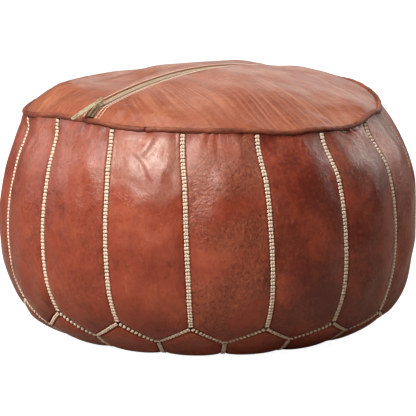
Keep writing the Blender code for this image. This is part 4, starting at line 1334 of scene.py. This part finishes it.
cast_piece("zip_slider", "slider", 0.00028, "zip_slider_casting")
cast_piece("zip_pull_tab", "pull", 0.00032, "zip_pull_casting")

# ---- pieces whose CAD shape stays ----
KEPT = {
    "zip_top_stop_left": METAL,
    "zip_top_stop_right": METAL,
    "zip_end_stop": METAL,
    "insert_bag": MUSLIN,
    "fibre_filling": FIBRE,
}
for name, mat in KEPT.items():
    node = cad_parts[name]
    node.data.materials.clear()
    node.data.materials.append(mat)

# ---- floor, light and camera ----
WORLD_LIGHT = 0.12
LAMP_COLOUR = (1.0, 0.955, 0.885)
LAMP_AIM = Vector((0.0, 0.0, 0.2))
LIGHTS = (
    # name, azimuth from the camera and elevation in degrees, distance, width, height, power
    ("key", -36.0, 34.0, 2.4, 1.3, 1.0, 55.0),
    ("left", -98.0, 22.0, 2.6, 1.5, 1.5, 21.0),
    ("overhead", -15.0, 80.0, 2.4, 1.6, 1.6, 24.0),
    ("behind", 160.0, 24.0, 3.0, 3.0, 1.6, 16.0),
    ("right_rim", 112.0, 24.0, 2.8, 0.8, 1.6, 22.0),
)
CAMERA_AZIMUTH = math.radians(38.0)
CAMERA_ELEVATION = math.radians(9.9)
CAMERA_DISTANCE = 3.3
CAMERA_AIM = Vector((0.0004, 0.0003, 0.1616))
FLOOR_REACH, FLOOR_LOW = 14.0, -0.0006


def stand(obj, aim, azimuth, elevation, distance):
    """Puts a lamp or the camera that far from the point it looks at."""
    flat = math.cos(elevation)
    way = Vector((math.sin(azimuth) * flat, -math.cos(azimuth) * flat, math.sin(elevation)))
    obj.location = aim + way * distance
    obj.rotation_euler = (-way).to_track_quat("-Z", "Y").to_euler()
    bpy.context.scene.collection.objects.link(obj)


def studio():
    # the floor looks white but sends little light back up under the pouf
    ground = Shade("studio_floor", (0.9, 0.9, 0.9))
    speck = ground.noise(ground.world(), 0.6, 2.0)
    pale = ground.mix(speck, (0.46, 0.46, 0.46), (0.48, 0.48, 0.48))
    ground.finish(pale, 0.9, Emission_Color=(1.0, 1.0, 1.0, 1.0), Emission_Strength=0.96)
    seen = ground.node("LightPath").outputs["Is Camera Ray"]
    dull = ground.node("BsdfDiffuse", Color=(0.37, 0.32, 0.275, 1.0)).outputs[0]
    either = ground.node("MixShader")
    for socket, source in enumerate((seen, dull, ground.shader.outputs[0])):
        ground.put(either, socket, source)
    ground.put(ground.output, "Surface", either.outputs[0])
    corners = [(x * FLOOR_REACH, y * FLOOR_REACH, FLOOR_LOW)
               for x, y in ((-1, -1), (1, -1), (1, 1), (-1, 1))]
    floor = make_object("floor", corners, [(0, 1, 2, 3)])
    floor.data.materials.append(ground.material)

    world = bpy.data.worlds.new("studio")
    world.use_nodes = True
    back = world.node_tree.nodes["Background"]
    back.inputs["Color"].default_value = (1.0, 1.0, 1.0, 1.0)
    path = world.node_tree.nodes.new("ShaderNodeLightPath")
    strength = world.node_tree.nodes.new("ShaderNodeMapRange")
    strength.inputs["To Min"].default_value = WORLD_LIGHT
    strength.inputs["To Max"].default_value = 1.0
    world.node_tree.links.new(path.outputs["Is Camera Ray"], strength.inputs["Value"])
    world.node_tree.links.new(strength.outputs[0], back.inputs["Strength"])
    bpy.context.scene.world = world

    for name, azimuth, elevation, distance, width, height, power in LIGHTS:
        lamp = bpy.data.lights.new(name, "AREA")
        lamp.shape = "RECTANGLE"
        lamp.size, lamp.size_y = width, height
        lamp.energy = power
        lamp.color = LAMP_COLOUR
        azimuth, elevation = CAMERA_AZIMUTH + math.radians(azimuth), math.radians(elevation)
        stand(bpy.data.objects.new(name, lamp), LAMP_AIM, azimuth, elevation, distance)

    lens = bpy.data.cameras.new("camera")
    lens.sensor_width = 36.0
    lens.lens = 208.35
    lens.clip_start, lens.clip_end = 0.1, 50.0
    camera = bpy.data.objects.new("camera", lens)
    stand(camera, CAMERA_AIM, CAMERA_AZIMUTH, CAMERA_ELEVATION, CAMERA_DISTANCE)
    bpy.context.scene.camera = camera
    bpy.context.scene.view_settings.view_transform = "Standard"


studio()
